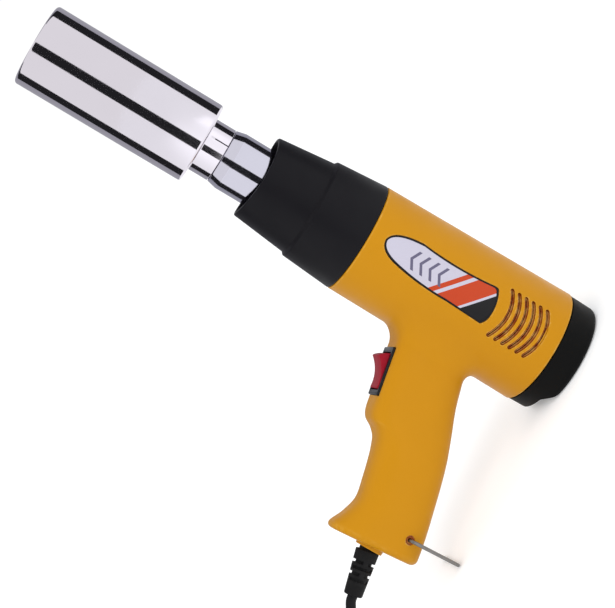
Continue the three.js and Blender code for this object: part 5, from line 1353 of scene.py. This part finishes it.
@dataclass
class IntakeCap:
    """The black cap on the rear: a cup with a grille, cut back on the grip's side."""

    side: float = 18.4
    face_radius: float = 34.0
    rounding: float = 3.2
    flare: float = 0.4
    wall: float = 2.4
    spigot_radius: float = 35.1
    spigot: float = 8.0
    cut_x: float = -25.0
    cut_depth: float = 7.2
    cut_run: float = 6.4
    cut_rounding: float = 11.0
    cut_end: float = -70.0
    grille: tuple[Pair, ...] = ((9.5, 12.8), (15.2, 18.5))
    slot_end: float = 3.4
    spoke_width: float = 2.6

    def cut_tool(self, depth: float) -> Piece:
        """The wedge that is cut away, moved into the cap by a depth."""
        slope = self.cut_depth / self.cut_run
        ramp = self.cut_x + depth * math.hypot(1, slope) / slope
        top = self.cut_depth + depth
        low = depth if depth else -0.02
        foot, far = ramp - low / slope, self.cut_end
        upper = [(ramp - top / slope, top, 1.4), (far, top), (far, -5)]
        if depth:
            corners = [(foot, low), *upper, (foot, -5)]
        else:
            corners = [(ramp + 9, low), (foot, low, self.cut_rounding), *upper, (ramp + 9, -5)]
        return prism("cap_cut", eased(corners), -FAR, FAR)

    def cup(self) -> Piece:
        """The cup with its hollow and the cut."""
        rim = self.face_radius + self.rounding
        top, spigot_end = self.side, self.side + self.spigot
        cap = turned("intake_cap", [
            (0, 0), (rim, 0, self.rounding), (rim + self.flare, top, 0.4), (self.spigot_radius, top),
            (self.spigot_radius, spigot_end, 0.5), (0, spigot_end),
        ], 160)
        inner = turned("cap_room", [
            (0, self.wall), (rim - self.wall, self.wall, 1.4), (rim - self.wall, top - 3),
            (self.spigot_radius - self.wall, top), (self.spigot_radius - self.wall, spigot_end + 1),
            (0, spigot_end + 1),
        ], 96)
        combined(inner, self.cut_tool(self.wall))
        combined(cap, self.cut_tool(0))
        return combined(cap, inner)

    def build(self) -> None:
        """Makes the cap with its slots and dresses it."""
        cap = self.cup()
        spokes = [moved(box("spoke", (-45, -self.spoke_width / 2, -10), (45, self.spoke_width / 2, 10)),
                        turn_about("Z", 60 * i)) for i in range(3)]
        star = combined(combined(spokes[0], spokes[1], Join.ADD), spokes[2], Join.ADD)
        for inner, outer in self.grille:
            ring = [(inner, -1), (outer, -1), (outer, self.slot_end), (inner, self.slot_end)]
            slots = turned("slots", ring, 96)
            combined(cap, combined(slots, star, keep=True))
        bpy.data.objects.remove(star)
        dressed(smooth(cap), CAP_BLACK, "housing", "black_moulding", "rear_cap")


@dataclass
class NoseShroud:
    """The black sleeve round the front of the barrel: two tapered runs with a step, and centring fins."""

    rear: float = 153.9
    step: float = 189.0
    front: float = 227.0
    rear_radius: float = 36.1
    step_radius: float = 33.3
    ledge: float = 1.8
    lip_radius: float = 27.3
    lip: float = 1.2
    dip: float = 2.5
    dip_length: float = 20.0
    wall: float = 2.2
    neck_radius: float = 33.5
    neck_end: float = 164.3
    tube_radius: float = 19.3
    fin_width: float = 1.6
    fin_length: float = 24.0
    fin_setback: float = 6.0
    fin_root: float = 1.1

    def build(self) -> None:
        """Makes the sleeve and its fins, and dresses them."""
        ledge_radius = self.step_radius - self.ledge
        inner_lip = self.lip_radius - self.wall
        inner_step = ledge_radius - self.wall
        sleeve = turned("nose_sleeve", [
            (self.rear_radius, self.rear, 0.7), (self.step_radius, self.step - 1, 0.8),
            (ledge_radius, self.step + 0.6, 0.5), (self.lip_radius, self.front, self.lip),
            (inner_lip, self.front, 0.5), (inner_lip - 0.4, self.front - 1.5), (inner_step, self.step - 1),
            (self.neck_radius - 1.1, self.neck_end + 2), (self.neck_radius, self.neck_end),
            (self.neck_radius, self.rear),
        ], 160)
        for corner in sleeve.data.vertices:
            x, y, z = corner.co
            sideways = y * y / max(x * x + y * y, MM * MM)
            share = smoothstep(z / MM, self.front - self.dip_length, self.front)
            corner.co.z -= self.dip * sideways * share * MM
        top = self.front - self.fin_setback
        low = top - self.fin_length
        slope = (inner_step - inner_lip) / (self.front - self.step)
        reach = [inner_lip + slope * (self.front - z) + self.fin_root for z in (top, low)]
        outline = [(self.tube_radius, low + 3), (self.tube_radius, top), (reach[0], top), (reach[1], low)]
        fin = prism("fin", outline, -self.fin_width / 2, self.fin_width / 2)
        for i in range(4):
            combined(sleeve, copied(fin, "fin_copy", turn_about("Z", 45 + 90 * i)), Join.ADD)
        bpy.data.objects.remove(fin)
        dressed(smooth(sleeve), BLACK, "housing", "black_moulding", "nose_shroud")


@dataclass
class HeaterTube:
    """The polished outlet tube with its flange, cone, shoulder and neck."""

    flange_z: float = 128.0
    flange_radius: float = 33.4
    sheet: float = 0.8
    cone_radius: float = 30.0
    cone_end: float = 146.8
    radius: float = 19.0
    shoulder: float = 245.0
    shoulder_end: float = 251.6
    shoulder_radius: float = 17.5
    neck_radius: float = 16.4
    end: float = 269.6
    wire: float = 1.0
    wire_turns: int = 9
    wire_steps: int = 40

    def build(self) -> None:
        """Makes the tube and the heating wire in it, and dresses them."""
        wall = self.sheet
        tube = turned("outlet_tube", [
            (self.flange_radius, self.flange_z), (self.flange_radius, self.flange_z + wall),
            (self.cone_radius, self.flange_z + wall), (self.radius, self.cone_end, 3),
            (self.radius, self.shoulder, 0.8), (self.shoulder_radius, self.shoulder_end - 0.2, 0.6),
            (self.neck_radius, self.shoulder_end, 0.3), (self.neck_radius, self.end, 0.3),
            (self.neck_radius - wall, self.end, 0.3), (self.neck_radius - wall, self.shoulder_end - 0.8),
            (self.shoulder_radius - wall, self.shoulder_end - 1.2), (self.radius - wall, self.shoulder - 0.3),
            (self.radius - wall, self.cone_end + 0.3), (self.cone_radius - wall, self.flange_z),
        ], 128, 4)
        dressed(smooth(tube, 40), TUBE_CHROME, "housing", "polished_steel", "heater_tube")
        self.heating_wire()

    def heating_wire(self) -> None:
        """Winds the heating wire round the mica boards."""
        low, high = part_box("heating_coil")
        half, count = self.wire / 2, self.wire_turns * self.wire_steps
        radius = (high.x - low.x) / 2 / MM - half
        first, last = low.z / MM + half, high.z / MM - half
        path = []
        for k in range(count + 1):
            angle = math.tau * k / self.wire_steps
            z = first + (last - first) * k / count
            path.append((radius * math.cos(angle), radius * math.sin(angle), z))
        dressed(smooth(swept("heating_wire", path, half, 4)), ELEMENT, "housing", "element", "heating_coil")


@dataclass
class Nozzle:
    """The wide polished cylinder with rounded ends and a split collar."""

    radius: float = 26.3
    rear: float = 265.6
    length: float = 115.0
    sheet: float = 0.8
    rounding: float = 2.0
    collar_radius: float = 16.7
    collar_length: float = 13.7
    slit_width: float = 0.8
    slit_length: float = 9.0
    slit_angle: float = -77.0

    def build(self) -> None:
        """Makes the nozzle and dresses it."""
        wall, edge = self.sheet, self.rounding
        front = self.rear + self.length
        low = self.rear - self.collar_length
        outer = self.collar_radius + wall
        nozzle = turned("wide_nozzle", [
            (self.collar_radius, low, 0.25), (outer, low, 0.25), (outer, self.rear, 0.6),
            (self.radius, self.rear, edge), (self.radius, front, edge), (self.radius - edge, front),
            (self.radius - edge, front - wall), (self.radius - wall, front - wall, edge - wall),
            (self.radius - wall, self.rear + wall, edge - wall), (self.collar_radius, self.rear + wall, 0.6),
        ], 160)
        for i in range(3):
            slit = box("slit", (self.collar_radius - 2, -self.slit_width / 2, low - 1),
                       (outer + 2, self.slit_width / 2, low + self.slit_length))
            combined(nozzle, moved(slit, turn_about("Z", self.slit_angle + 120 * i)))
        dressed(smooth(nozzle, 40), CHROME, "nozzle", "polished_steel", "nozzle")


@dataclass
class RockerSwitch:
    """The framed rocker switch in the front of the grip."""

    length: float = 31.4
    width: float = 24.0
    thickness: float = 1.8
    body_length: float = 28.2
    body_width: float = 21.0
    body_depth: float = 20.0
    well_length: float = 24.8
    well_depth: float = 9.0
    rocker_width: float = 19.0
    rocker_radius: float = 11.6
    pivot_depth: float = 2.0
    spread: float = 60.0
    tilt: float = 16.0
    dish: float = 4.4
    skirt: float = 106.0
    pin_radius: float = 1.3
    seat: SwitchSeat = field(default_factory=SwitchSeat)

    def frame(self) -> Piece:
        """The frame with the body behind it."""
        l, w = self.length / 2, self.width / 2
        corners = [(-l, -w, 1.2), (l, -w, 1.2), (l, w, 1.2), (-l, w, 1.2)]
        frame = bevelled(prism("switch_bezel", eased(corners, 4), -self.thickness, 0, Axis.UP), 0.5, 3, 60)
        body = (self.body_length / 2, self.body_width / 2)
        under = box("switch_body", (-body[0], -body[1], -self.body_depth), (*body, -self.thickness + 0.4))
        combined(frame, under, Join.ADD)
        well = (self.well_length / 2, self.rocker_width / 2 + FIT)
        combined(frame, box("rocker_well", (-well[0], -well[1], -self.well_depth), (*well, 5)))
        reach = well[1] + 1
        combined(frame, cross_rod("pin_hole", self.pin_radius + FIT, (0, -self.pivot_depth), -reach, reach))
        return moved(bevelled(frame, 0.18, 2, 50), self.seat.place())

    def rocker(self) -> Piece:
        """The rocker, with its dished face and its pins."""
        r, half = self.rocker_radius, math.radians(self.spread)
        tip = Vector((r * math.sin(half), r * math.cos(half)))
        low = math.radians(self.skirt)
        face = []
        for k in range(17):
            t = k / 16
            x = tip.x * (2 * t - 1)
            face.append((x, tip.y - 2 * self.dish * t * (1 - t)))
        arc = [half + (low - half) * k / 8 for k in range(1, 9)]
        down = [(r * math.sin(a), r * math.cos(a)) for a in arc]
        outline = [*face, *down, *[(-x, z) for x, z in reversed(down)]]
        rocker = prism("rocker_key", outline, -self.rocker_width / 2, self.rocker_width / 2)
        bevelled(rocker, 0.5, 3, 34)
        reach = self.rocker_width / 2 + 0.9
        combined(rocker, cross_rod("pins", self.pin_radius, (0, 0), -reach, reach), Join.ADD)
        return moved(rocker, self.seat.place() @ shift(0, 0, -self.pivot_depth) @ turn_about("Y", -self.tilt))

    def build(self) -> None:
        """Makes the switch and dresses it."""
        dressed(smooth(self.frame()), SWITCH_BLACK, "housing", "black_moulding", "switch_frame")
        dressed(smooth(self.rocker()), ROCKER_RED, "rocker", "rocker", "switch_rocker")


@dataclass
class Bail:
    """The wire stand and hanging loop, a U whose ends turn into the grip."""

    diameter: float = 2.3
    length: float = 34.3
    lean: float = 2.3
    bend: float = 3.0
    leg: float = 19.5
    pin_end: float = 11.3

    def build(self) -> None:
        """Bends the wire and dresses it."""
        inner, low = self.leg - self.bend, self.bend - self.length
        half = [(0, self.pin_end, 0)]
        for centre, first in (((inner, -self.bend), 90), ((inner, low), 0)):
            for k in range(11):
                angle = math.radians(first - 9 * k)
                aside, up = self.bend * math.cos(angle), self.bend * math.sin(angle)
                half.append((0, centre[0] + aside, centre[1] + up))
        path = [*half, *[(x, -y, z) for x, y, z in reversed(half)]]
        wire = swept("bail_wire", path, self.diameter / 2, 6)
        moved(wire, shift(BAIL_PIVOT[0], 0, BAIL_PIVOT[1]) @ turn_about("Y", -self.lean))
        dressed(smooth(wire, 50), WIRE, "bail", "wire", "bail")


@dataclass
class StrainRelief:
    """The tapered rubber guard where the lead leaves the grip, with cut ribs."""

    length: float = 30.0
    head: float = 7.0
    tip: float = 8.0
    head_radius: float = 7.6
    tip_radius: float = 5.9
    core_radius: float = 5.2
    neck_radius: float = 5.6
    flange_radius: float = 8.0
    flange_top: float = -6.53
    flange: float = 2.5
    collar_gap: float = 1.0
    ribs: int = 4
    groove_share: float = 0.52
    bridge: float = 1.6
    bore: float = 3.3
    exit: LeadExit = field(default_factory=LeadExit)

    def radius_at(self, z: float) -> float:
        """The guard's outer radius at a distance from the grip."""
        return self.head_radius + (self.tip_radius - self.head_radius) * z / self.length

    def build(self) -> None:
        """Makes the guard and dresses it."""
        guard = turned("lead_guard", [
            (0, self.flange_top - self.flange), (self.flange_radius, self.flange_top - self.flange, 0.4),
            (self.flange_radius, self.flange_top, 0.4), (self.neck_radius, self.flange_top),
            (self.neck_radius, self.collar_gap), (self.radius_at(self.collar_gap), self.collar_gap, 0.6),
            (self.radius_at(self.length), self.length, 1.2), (self.bore, self.length, 0.4),
            (self.bore, self.length - 4), (0, self.length - 4),
        ], 64)
        pitch = (self.length - self.head - self.tip) / self.ribs
        for i in range(self.ribs):
            z = self.head + pitch * (i + 0.5)
            low, high = z - pitch * self.groove_share / 2, z + pitch * self.groove_share / 2
            outline = [(self.core_radius, low, 0.35), (12, low), (12, high), (self.core_radius, high, 0.35)]
            ring = turned("groove", outline, 48, 3)
            reach = (self.bridge, 20) if i % 2 == 0 else (20, self.bridge)
            combined(ring, box("bridge", (-reach[0], -reach[1], z - 3), (*reach, z + 3)))
            combined(guard, ring)
        bevelled(guard, 0.25, 2, 45)
        moved(guard, self.exit.place())
        dressed(smooth(guard), RUBBER, "housing", "rubber", "strain_relief")


@dataclass
class MainsLead:
    """The lead: from the grip to the floor, into its coil and to the plug. Free points are in metres."""

    diameter: float = 6.4
    guard_points: Triple = (27.0, 30.3, 33.3)
    run_in: float = 6.3
    free_points: tuple[Triple, ...] = (
        (-0.1998, 0, 0.0434), (-0.2085, -0.0016, 0.0388), (-0.2175, -0.0046, 0.0322),
        (-0.2265, -0.0088, 0.0244), (-0.2355, -0.0139, 0.0166), (-0.2445, -0.0192, 0.0098),
    )
    coil_centre: Pair = (-285.0, 14.8)
    coil_inner: float = 25.6
    pitch: float = 6.9
    turns: int = 6
    turns_down: float = 3.5
    start: float = -58.0
    low: float = 4.3
    steps: int = 36
    tail_climb: float = 45.0
    tail_radius: float = 30.0
    tail_curl: float = 150.0
    plug_z: float = 23.2
    guard_bore: float = 4.0
    tie_angle: float = -6.0
    tie_thickness: float = 0.8
    tie_width: float = 5.0
    exit: LeadExit = field(default_factory=LeadExit)

    def coil_point(self, turns: float) -> Vector:
        """A point of the coil after some turns."""
        angle = math.radians(self.start) - math.tau * turns
        radius = self.coil_inner + self.pitch * abs(self.turns_down - turns)
        z = self.low + self.pitch * smoothstep(turns, self.turns_down - 0.25, self.turns_down + 0.25)
        x, y = self.coil_centre
        return Vector((x + radius * math.cos(angle), y + radius * math.sin(angle), z))

    def tail_point(self, share: float) -> Vector:
        """A point of the tail, which climbs a layer and curls inwards over the turns."""
        start = self.coil_point(self.turns)
        middle = Vector((*self.coil_centre, start.z))
        reach = (start - middle).length
        climb = math.radians(self.tail_climb) * reach
        along = share * (climb + math.radians(self.tail_curl) * self.tail_radius)
        outwards = (start - middle).normalized()
        outwards.rotate(turn_about("Z", -self.tail_climb * min(along / climb, 1)))
        point = middle + outwards * reach
        if along > climb:
            curled = outwards.copy()
            curled.rotate(Matrix.Rotation(-(along - climb) / self.tail_radius, 4, "Z"))
            point += (curled - outwards) * self.tail_radius
        point.z += self.pitch * smoothstep(along, 0, climb)
        point.z += (self.plug_z - middle.z - self.pitch) * smoothstep(share, 0.4, 1)
        return point

    def path(self) -> list[Vector]:
        """The lead's whole centreline, from inside the guard to inside the plug."""
        entry = self.coil_point(0)
        heading = (self.coil_point(0.001) - self.coil_point(-0.001)).normalized()
        knots = [self.exit.along(distance) for distance in self.guard_points]
        knots += [Vector(point) / MM for point in self.free_points]
        knots += [entry - heading * self.run_in, entry]
        line = catmull_rom(knots, 5)
        count = self.steps * self.turns
        line += [self.coil_point(self.turns * k / count) for k in range(1, count + 1)]
        line += [self.tail_point(k / 30) for k in range(1, 31)]
        run = (line[-1] - line[-2]).normalized()
        line.append(line[-1] + run * self.guard_bore)
        return line

    def tie(self) -> Piece:
        """The band round the bundle of turns."""
        low, high = 0.0, self.low + self.pitch + self.diameter / 2 + FIT + self.tie_thickness
        first = ((self.start - self.tie_angle) % 360) / 360
        reaches = [self.coil_inner + self.pitch * abs(self.turns_down - first - i) for i in range(self.turns)]
        margin = self.diameter / 2 + 2 * FIT + self.tie_thickness
        inner, outer, wall = min(reaches) - margin, max(reaches) + margin, self.tie_thickness
        sides = ((inner, low, outer, high, 3.0, self.tie_width / 2),
                 (inner + wall, low + wall, outer - wall, high - wall, 2.2, self.tie_width))
        blocks = []
        for a, b, c, d, radius, half in sides:
            corners = [(a, b, radius), (c, b, radius), (c, d, radius), (a, d, radius)]
            blocks.append(prism("coil_band", eased(corners, 8), -half, half))
        band = bevelled(combined(*blocks), 0.2, 2, 50)
        x, y = self.coil_centre
        return moved(band, shift(x, y, 0) @ turn_about("Z", self.tie_angle))

    def build(self, plug_pieces: Sequence[Piece]) -> None:
        path = self.path()
        lead = line_piece("mains_lead", path, self.diameter / 2, 5)
        lead.data.use_fill_caps = True
        dressed(lead, CORD_SKIN, "housing", "cord", "power_cord", "cord_coil", "cord_tail")
        band = dressed(smooth(self.tie()), TIE, "housing", "tie", "coil_tie")
        self.exit.along(30) * MM


@dataclass
class Plug:
    """The moulded mains plug, with its guard and two flat pins."""

    place_x: float = -296.3766
    place_y: float = 31.0615
    place_z: float = 23.2
    heading: Pair = (0.9507, 0.3102)
    guard: float = 12.0
    length: float = 30.0
    width: float = 26.0
    thickness: float = 17.0
    pin_length: float = 17.0
    pin_width: float = 6.3
    pin_thickness: float = 1.5
    pin_spacing: float = 12.7
    eye_radius: float = 1.5
    eye_setback: float = 5.0
    guard_radii: Pair = (4.4, 5.6)
    squareness: float = 0.62
    edge: float = 1.5
    bore: float = 3.3

    def place(self) -> Matrix:
        """The plug's place as a matrix in metres: the lead enters at its origin."""
        turn = math.degrees(math.atan2(self.heading[1], self.heading[0]))
        return shift(self.place_x, self.place_y, self.place_z) @ turn_about("Z", turn)

    def body(self) -> Piece:
        """The plug's body, from the round guard to the flat face."""
        w, t, g, end = self.width / 2, self.thickness / 2, self.guard, self.guard + self.length
        first, last = self.guard_radii
        round_part = [(0, first), (g, last)]
        wide = through([*round_part, (g + 3, w * 0.62), (g + 8, w * 0.86), (end - 9, w), (end, w)])
        thick = through([*round_part, (g + 3, t * 0.86), (g + 8, t), (end - 9, t), (end, t)])
        square = through([(0, 1.0), (g, 1.0), (g + 8, self.squareness), (end, self.squareness)])
        stations = [0.0, *np.linspace(1, end - self.edge, 36)]
        rings = []
        for x in stations:
            rings.append(self.section(x, float(wide(x)), float(thick(x)), float(square(x))))
        for k in range(1, 6):
            angle = math.radians(18 * k)
            inset = self.edge * (1 - math.cos(angle))
            x = end - self.edge + self.edge * math.sin(angle)
            rings.append(self.section(x, w - inset, t - inset, self.squareness))
        return lofted("plug_moulding", rings)

    def section(self, x: float, wide: float, thick: float, power: float) -> list[Triple]:
        """One rounded section of the body."""
        corners = []
        for i in range(48):
            angle = math.tau * i / 48
            across, up = math.cos(angle), math.sin(angle)
            y = wide * math.copysign(abs(across) ** power, across)
            corners.append((x, y, thick * math.copysign(abs(up) ** power, up)))
        return corners

    def pin(self, name: str, side: int) -> Piece:
        """One flat pin with a hole near its tip."""
        start = self.guard + self.length + FIT
        tip, half = start + self.pin_length, self.pin_width / 2
        y = side * self.pin_spacing / 2
        corners = [(start, -half), (tip, -half, 2.2), (tip, half, 2.2), (start, half)]
        pin = prism(name, eased(corners), y - self.pin_thickness / 2, y + self.pin_thickness / 2)
        combined(pin, cross_rod("pin_eye", self.eye_radius, (tip - self.eye_setback, 0), -20, 20))
        return bevelled(pin, 0.2, 2, 50)

    def build(self) -> list[Piece]:
        """Makes the plug and returns its pieces."""
        body = self.body()
        bore = rod("lead_bore", self.bore, (-1, 0, 0), (5, 0, 0))
        body = moved(combined(body, bore), self.place())
        made = [dressed(smooth(body), RUBBER, "housing", "rubber", "plug_body")]
        blades = (("blade_live", "plug_pin_live", -1), ("blade_neutral", "plug_pin_neutral", 1))
        for name, node, side in blades:
            pin = moved(self.pin(name, side), self.place())
            made.append(dressed(smooth(pin), BRASS, "housing", "brass", node))
        return made


@dataclass
class Screws:
    """Pan head screws with a cross recess, made once and copied to their places."""

    shank: float = 1.4
    head: float = 2.9
    height: float = 2.0
    recess: float = 3.4
    recess_depth: float = 1.1
    blade: float = 0.75
    shell_reach: float = 19.0
    clamp_reach: float = 9.0
    shell_seat: float = 8.3
    clamp_seat: float = 6.3
    turn_step: float = 23.0

    def pattern(self, reach: float) -> Piece:
        """A screw with its head towards +Y and its seat at y = 0."""
        screw = turned("screw", [
            (0, -reach), (self.shank, -reach, 0.5), (self.shank, 0), (self.head, 0, 0.2),
            (self.head, self.height, 1.1), (0, self.height),
        ], 40)
        long, thin = self.recess / 2, self.blade / 2
        low, high = self.height - self.recess_depth, self.height + 1
        cross = box("slot_a", (-long, -thin, low), (long, thin, high))
        other = box("slot_b", (-thin, -long, low), (thin, long, high))
        combined(screw, combined(cross, other, Join.ADD))
        return smooth(moved(screw, turn_about("X", -90)))

    def build(self) -> None:
        """Copies the screws to the housing and to the cord clamp."""
        sets = (
            ("shell_screw", "housing_screw", Housing.screw_places, self.shell_reach, self.shell_seat,
             self.turn_step),
            ("clamp_screw", "cord_clamp_screw", Housing.clamp_posts, self.clamp_reach, self.clamp_seat, 0.0),
        )
        for name, node, places, reach, seat, step in sets:
            pattern = self.pattern(reach)
            for i, (x, z) in enumerate(places):
                screw = copied(pattern, f"{name}_{i + 1}", shift(x, seat, z) @ turn_about("Y", step * i))
                dressed(screw, ZINC, "housing", "screw", f"{node}_{i + 1}")
            bpy.data.objects.remove(pattern)


@dataclass
class InnerWorks:
    """The CAD pieces inside, which keep their shape and get a finish each."""

    nodes: dict[str, Piece]
    finishes: tuple[tuple[str, Finish], ...] = (
        ("switch_terminal", BRASS), ("motor_can", MOTOR_STEEL), ("motor_end_cap", GREY),
        ("motor_magnet", MAGNET), ("armature", MOTOR_STEEL), ("fan_impeller", GREY), ("fan_duct", GREY),
        ("flow_straightener", GREY), ("motor_screw", ZINC), ("rectifier_board", BOARD), ("mica", MICA),
        ("thermal_cutout", TUBE_CHROME), ("cord_in_grip", CORD_SKIN), ("cord_clamp", GREY),
        ("lead_", LEAD_SKIN),
    )

    def build(self) -> None:
        """Dresses every CAD piece that still shows."""
        for name, node in self.nodes.items():
            if node.hide_render:
                continue
            finish = next(finish for start, finish in self.finishes if name.startswith(start))
            for place in node.material_slots:
                place.material = finish.material()
            LOG.info("%s: finish %s", name, finish.name)


@dataclass
class Studio:
    """Pale floor, soft light, dark cards for the polished steel to mirror, and the camera."""

    camera_place: Triple = (-159.46, -961.71, 308.06)
    target: Triple = (-51.59, 0.0, 160.27)
    roll: float = 30.574
    focal_share: float = 1591.8 / 615
    sensor: float = 36.0
    backdrop: Triple = (253, 253, 253)
    cards: tuple[Triple, ...] = (
        (-24, 1, 0.02), (91, 124, 0.02), (-126, -98, 0.02), (124, 176, 0.42), (-176, -126, 0.42),
    )
    card_distance: float = 1.3
    card_heights: Pair = (-0.2, 2.4)
    card_home: float = -6.4
    lit_point: Triple = (-0.04, 0.0, 0.15)

    def camera(self) -> None:
        """Sets the camera up at the photograph's angle, rolled as the photograph is."""
        place, target = Vector(self.camera_place) * MM, Vector(self.target) * MM
        back = (place - target).normalized()
        barrel = (Vector((0, 0, 1)) - back * back.z).normalized()
        beside = barrel.cross(back)
        c, s = math.cos(math.radians(self.roll)), math.sin(math.radians(self.roll))
        right, up = beside * s - barrel * c, barrel * s + beside * c
        data = bpy.data.cameras.new("photo_camera")
        data.sensor_fit = "HORIZONTAL"
        data.sensor_width = self.sensor
        data.lens = self.focal_share * self.sensor
        data.clip_end = 50
        camera = bpy.data.objects.new("photo_camera", data)
        camera.matrix_world = Matrix.Translation(place) @ Matrix((right, up, back)).transposed().to_4x4()
        bpy.context.scene.collection.objects.link(camera)
        bpy.context.scene.camera = camera

    def ground(self) -> None:
        """Lays the floor, wide enough to pass behind the whole picture."""
        bpy.ops.object.select_all(action="DESELECT")
        bpy.ops.mesh.primitive_plane_add(size=60, location=(0, 0, -0.0002))
        floor = bpy.context.object
        floor.name = "studio_floor"
        material = bpy.data.materials.new("studio_floor")
        material.use_nodes = True
        surface = material.node_tree.nodes["Principled BSDF"]
        surface.inputs["Base Color"].default_value = (0.86, 0.87, 0.88, 1)
        surface.inputs["Roughness"].default_value = 0.9
        surface.inputs["Emission Color"].default_value = (1, 1, 1, 1)
        surface.inputs["Emission Strength"].default_value = 0.2
        surface.inputs["Specular IOR Level"].default_value = 0.1
        floor.data.materials.append(material)

    def light(self, name: str, place: Triple, size: Pair, power: float) -> None:
        """Hangs a soft rectangular lamp that faces the tool.

        Args:
            name: the lamp's name.
            place: where it hangs, in metres.
            size: its width and height in metres.
            power: its power in watts.
        """
        data = bpy.data.lights.new(name, "AREA")
        data.shape = "RECTANGLE"
        data.size, data.size_y = size
        data.energy = power
        lamp = bpy.data.objects.new(name, data)
        turn = (Vector(self.lit_point) - Vector(place)).to_track_quat("-Z", "Y")
        lamp.matrix_world = Matrix.Translation(Vector(place)) @ turn.to_matrix().to_4x4()
        lamp.visible_camera = False
        lamp.visible_glossy = False
        bpy.context.scene.collection.objects.link(lamp)

    def card(self, index: int, first: float, last: float, shade: float) -> None:
        """Stands a tall card between two directions, seen only in reflections.

        Args:
            index: number of the card.
            first: where it begins, in degrees from the camera's direction, towards +X.
            last: where it ends.
            shade: its brightness.
        """
        reach = self.card_distance / MM
        corners = []
        for height, angles in zip(self.card_heights, ((first, last), (last, first))):
            for angle in angles:
                a = math.radians(self.card_home + angle)
                corners.append((math.sin(a) * reach, -math.cos(a) * reach, height / MM))
        card = face_from(f"dark_card_{index}", corners)
        material = bpy.data.materials.new(f"dark_card_{index}")
        material.use_nodes = True
        sheet = NodeSheet(material.node_tree)
        glow = sheet.add("ShaderNodeEmission")
        glow.inputs["Color"].default_value = (shade, shade, shade * 1.1, 1)
        output = sheet.add("ShaderNodeOutputMaterial")
        sheet.join(glow.outputs[0], output.inputs["Surface"])
        card.data.materials.append(material)
        for ray in ("visible_camera", "visible_diffuse", "visible_shadow", "visible_transmission"):
            setattr(card, ray, False)

    def world(self) -> None:
        """Surrounds the set with even light."""
        world = bpy.data.worlds.new("studio")
        world.use_nodes = True
        ground = world.node_tree.nodes["Background"]
        ground.inputs["Color"].default_value = linear(self.backdrop)
        ground.inputs["Strength"].default_value = 1.05
        bpy.context.scene.world = world

    def build(self) -> None:
        """Sets the whole studio up."""
        bpy.context.scene.view_settings.view_transform = "Standard"
        self.camera()
        self.ground()
        self.world()
        self.light("key", (-0.9, -1.6, 1.5), (1.2, 1.2), 14)
        self.light("fill", (1.4, -1.2, 0.8), (1.0, 1.4), 5)
        for index, (first, last, shade) in enumerate(self.cards):
            self.card(index, first, last, shade)


def main() -> None:
    """Builds the studio and every sub-assembly, in order, and reports each."""
    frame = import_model()
    Studio().build()
    LOG.info("studio ready")
    plug = Plug().build()
    MainsLead().build(plug)
    for part in (Housing(), IntakeCap(), NoseShroud(), HeaterTube(), Nozzle(), RockerSwitch(), Bail(),
                 StrainRelief(), Screws(), InnerWorks(frame["nodes"])):
        part.build()
        LOG.info("%s built", type(part).__name__)


if __name__ == "__main__":
    logging.basicConfig(level=logging.INFO, format="%(name)s: %(message)s")
    main()
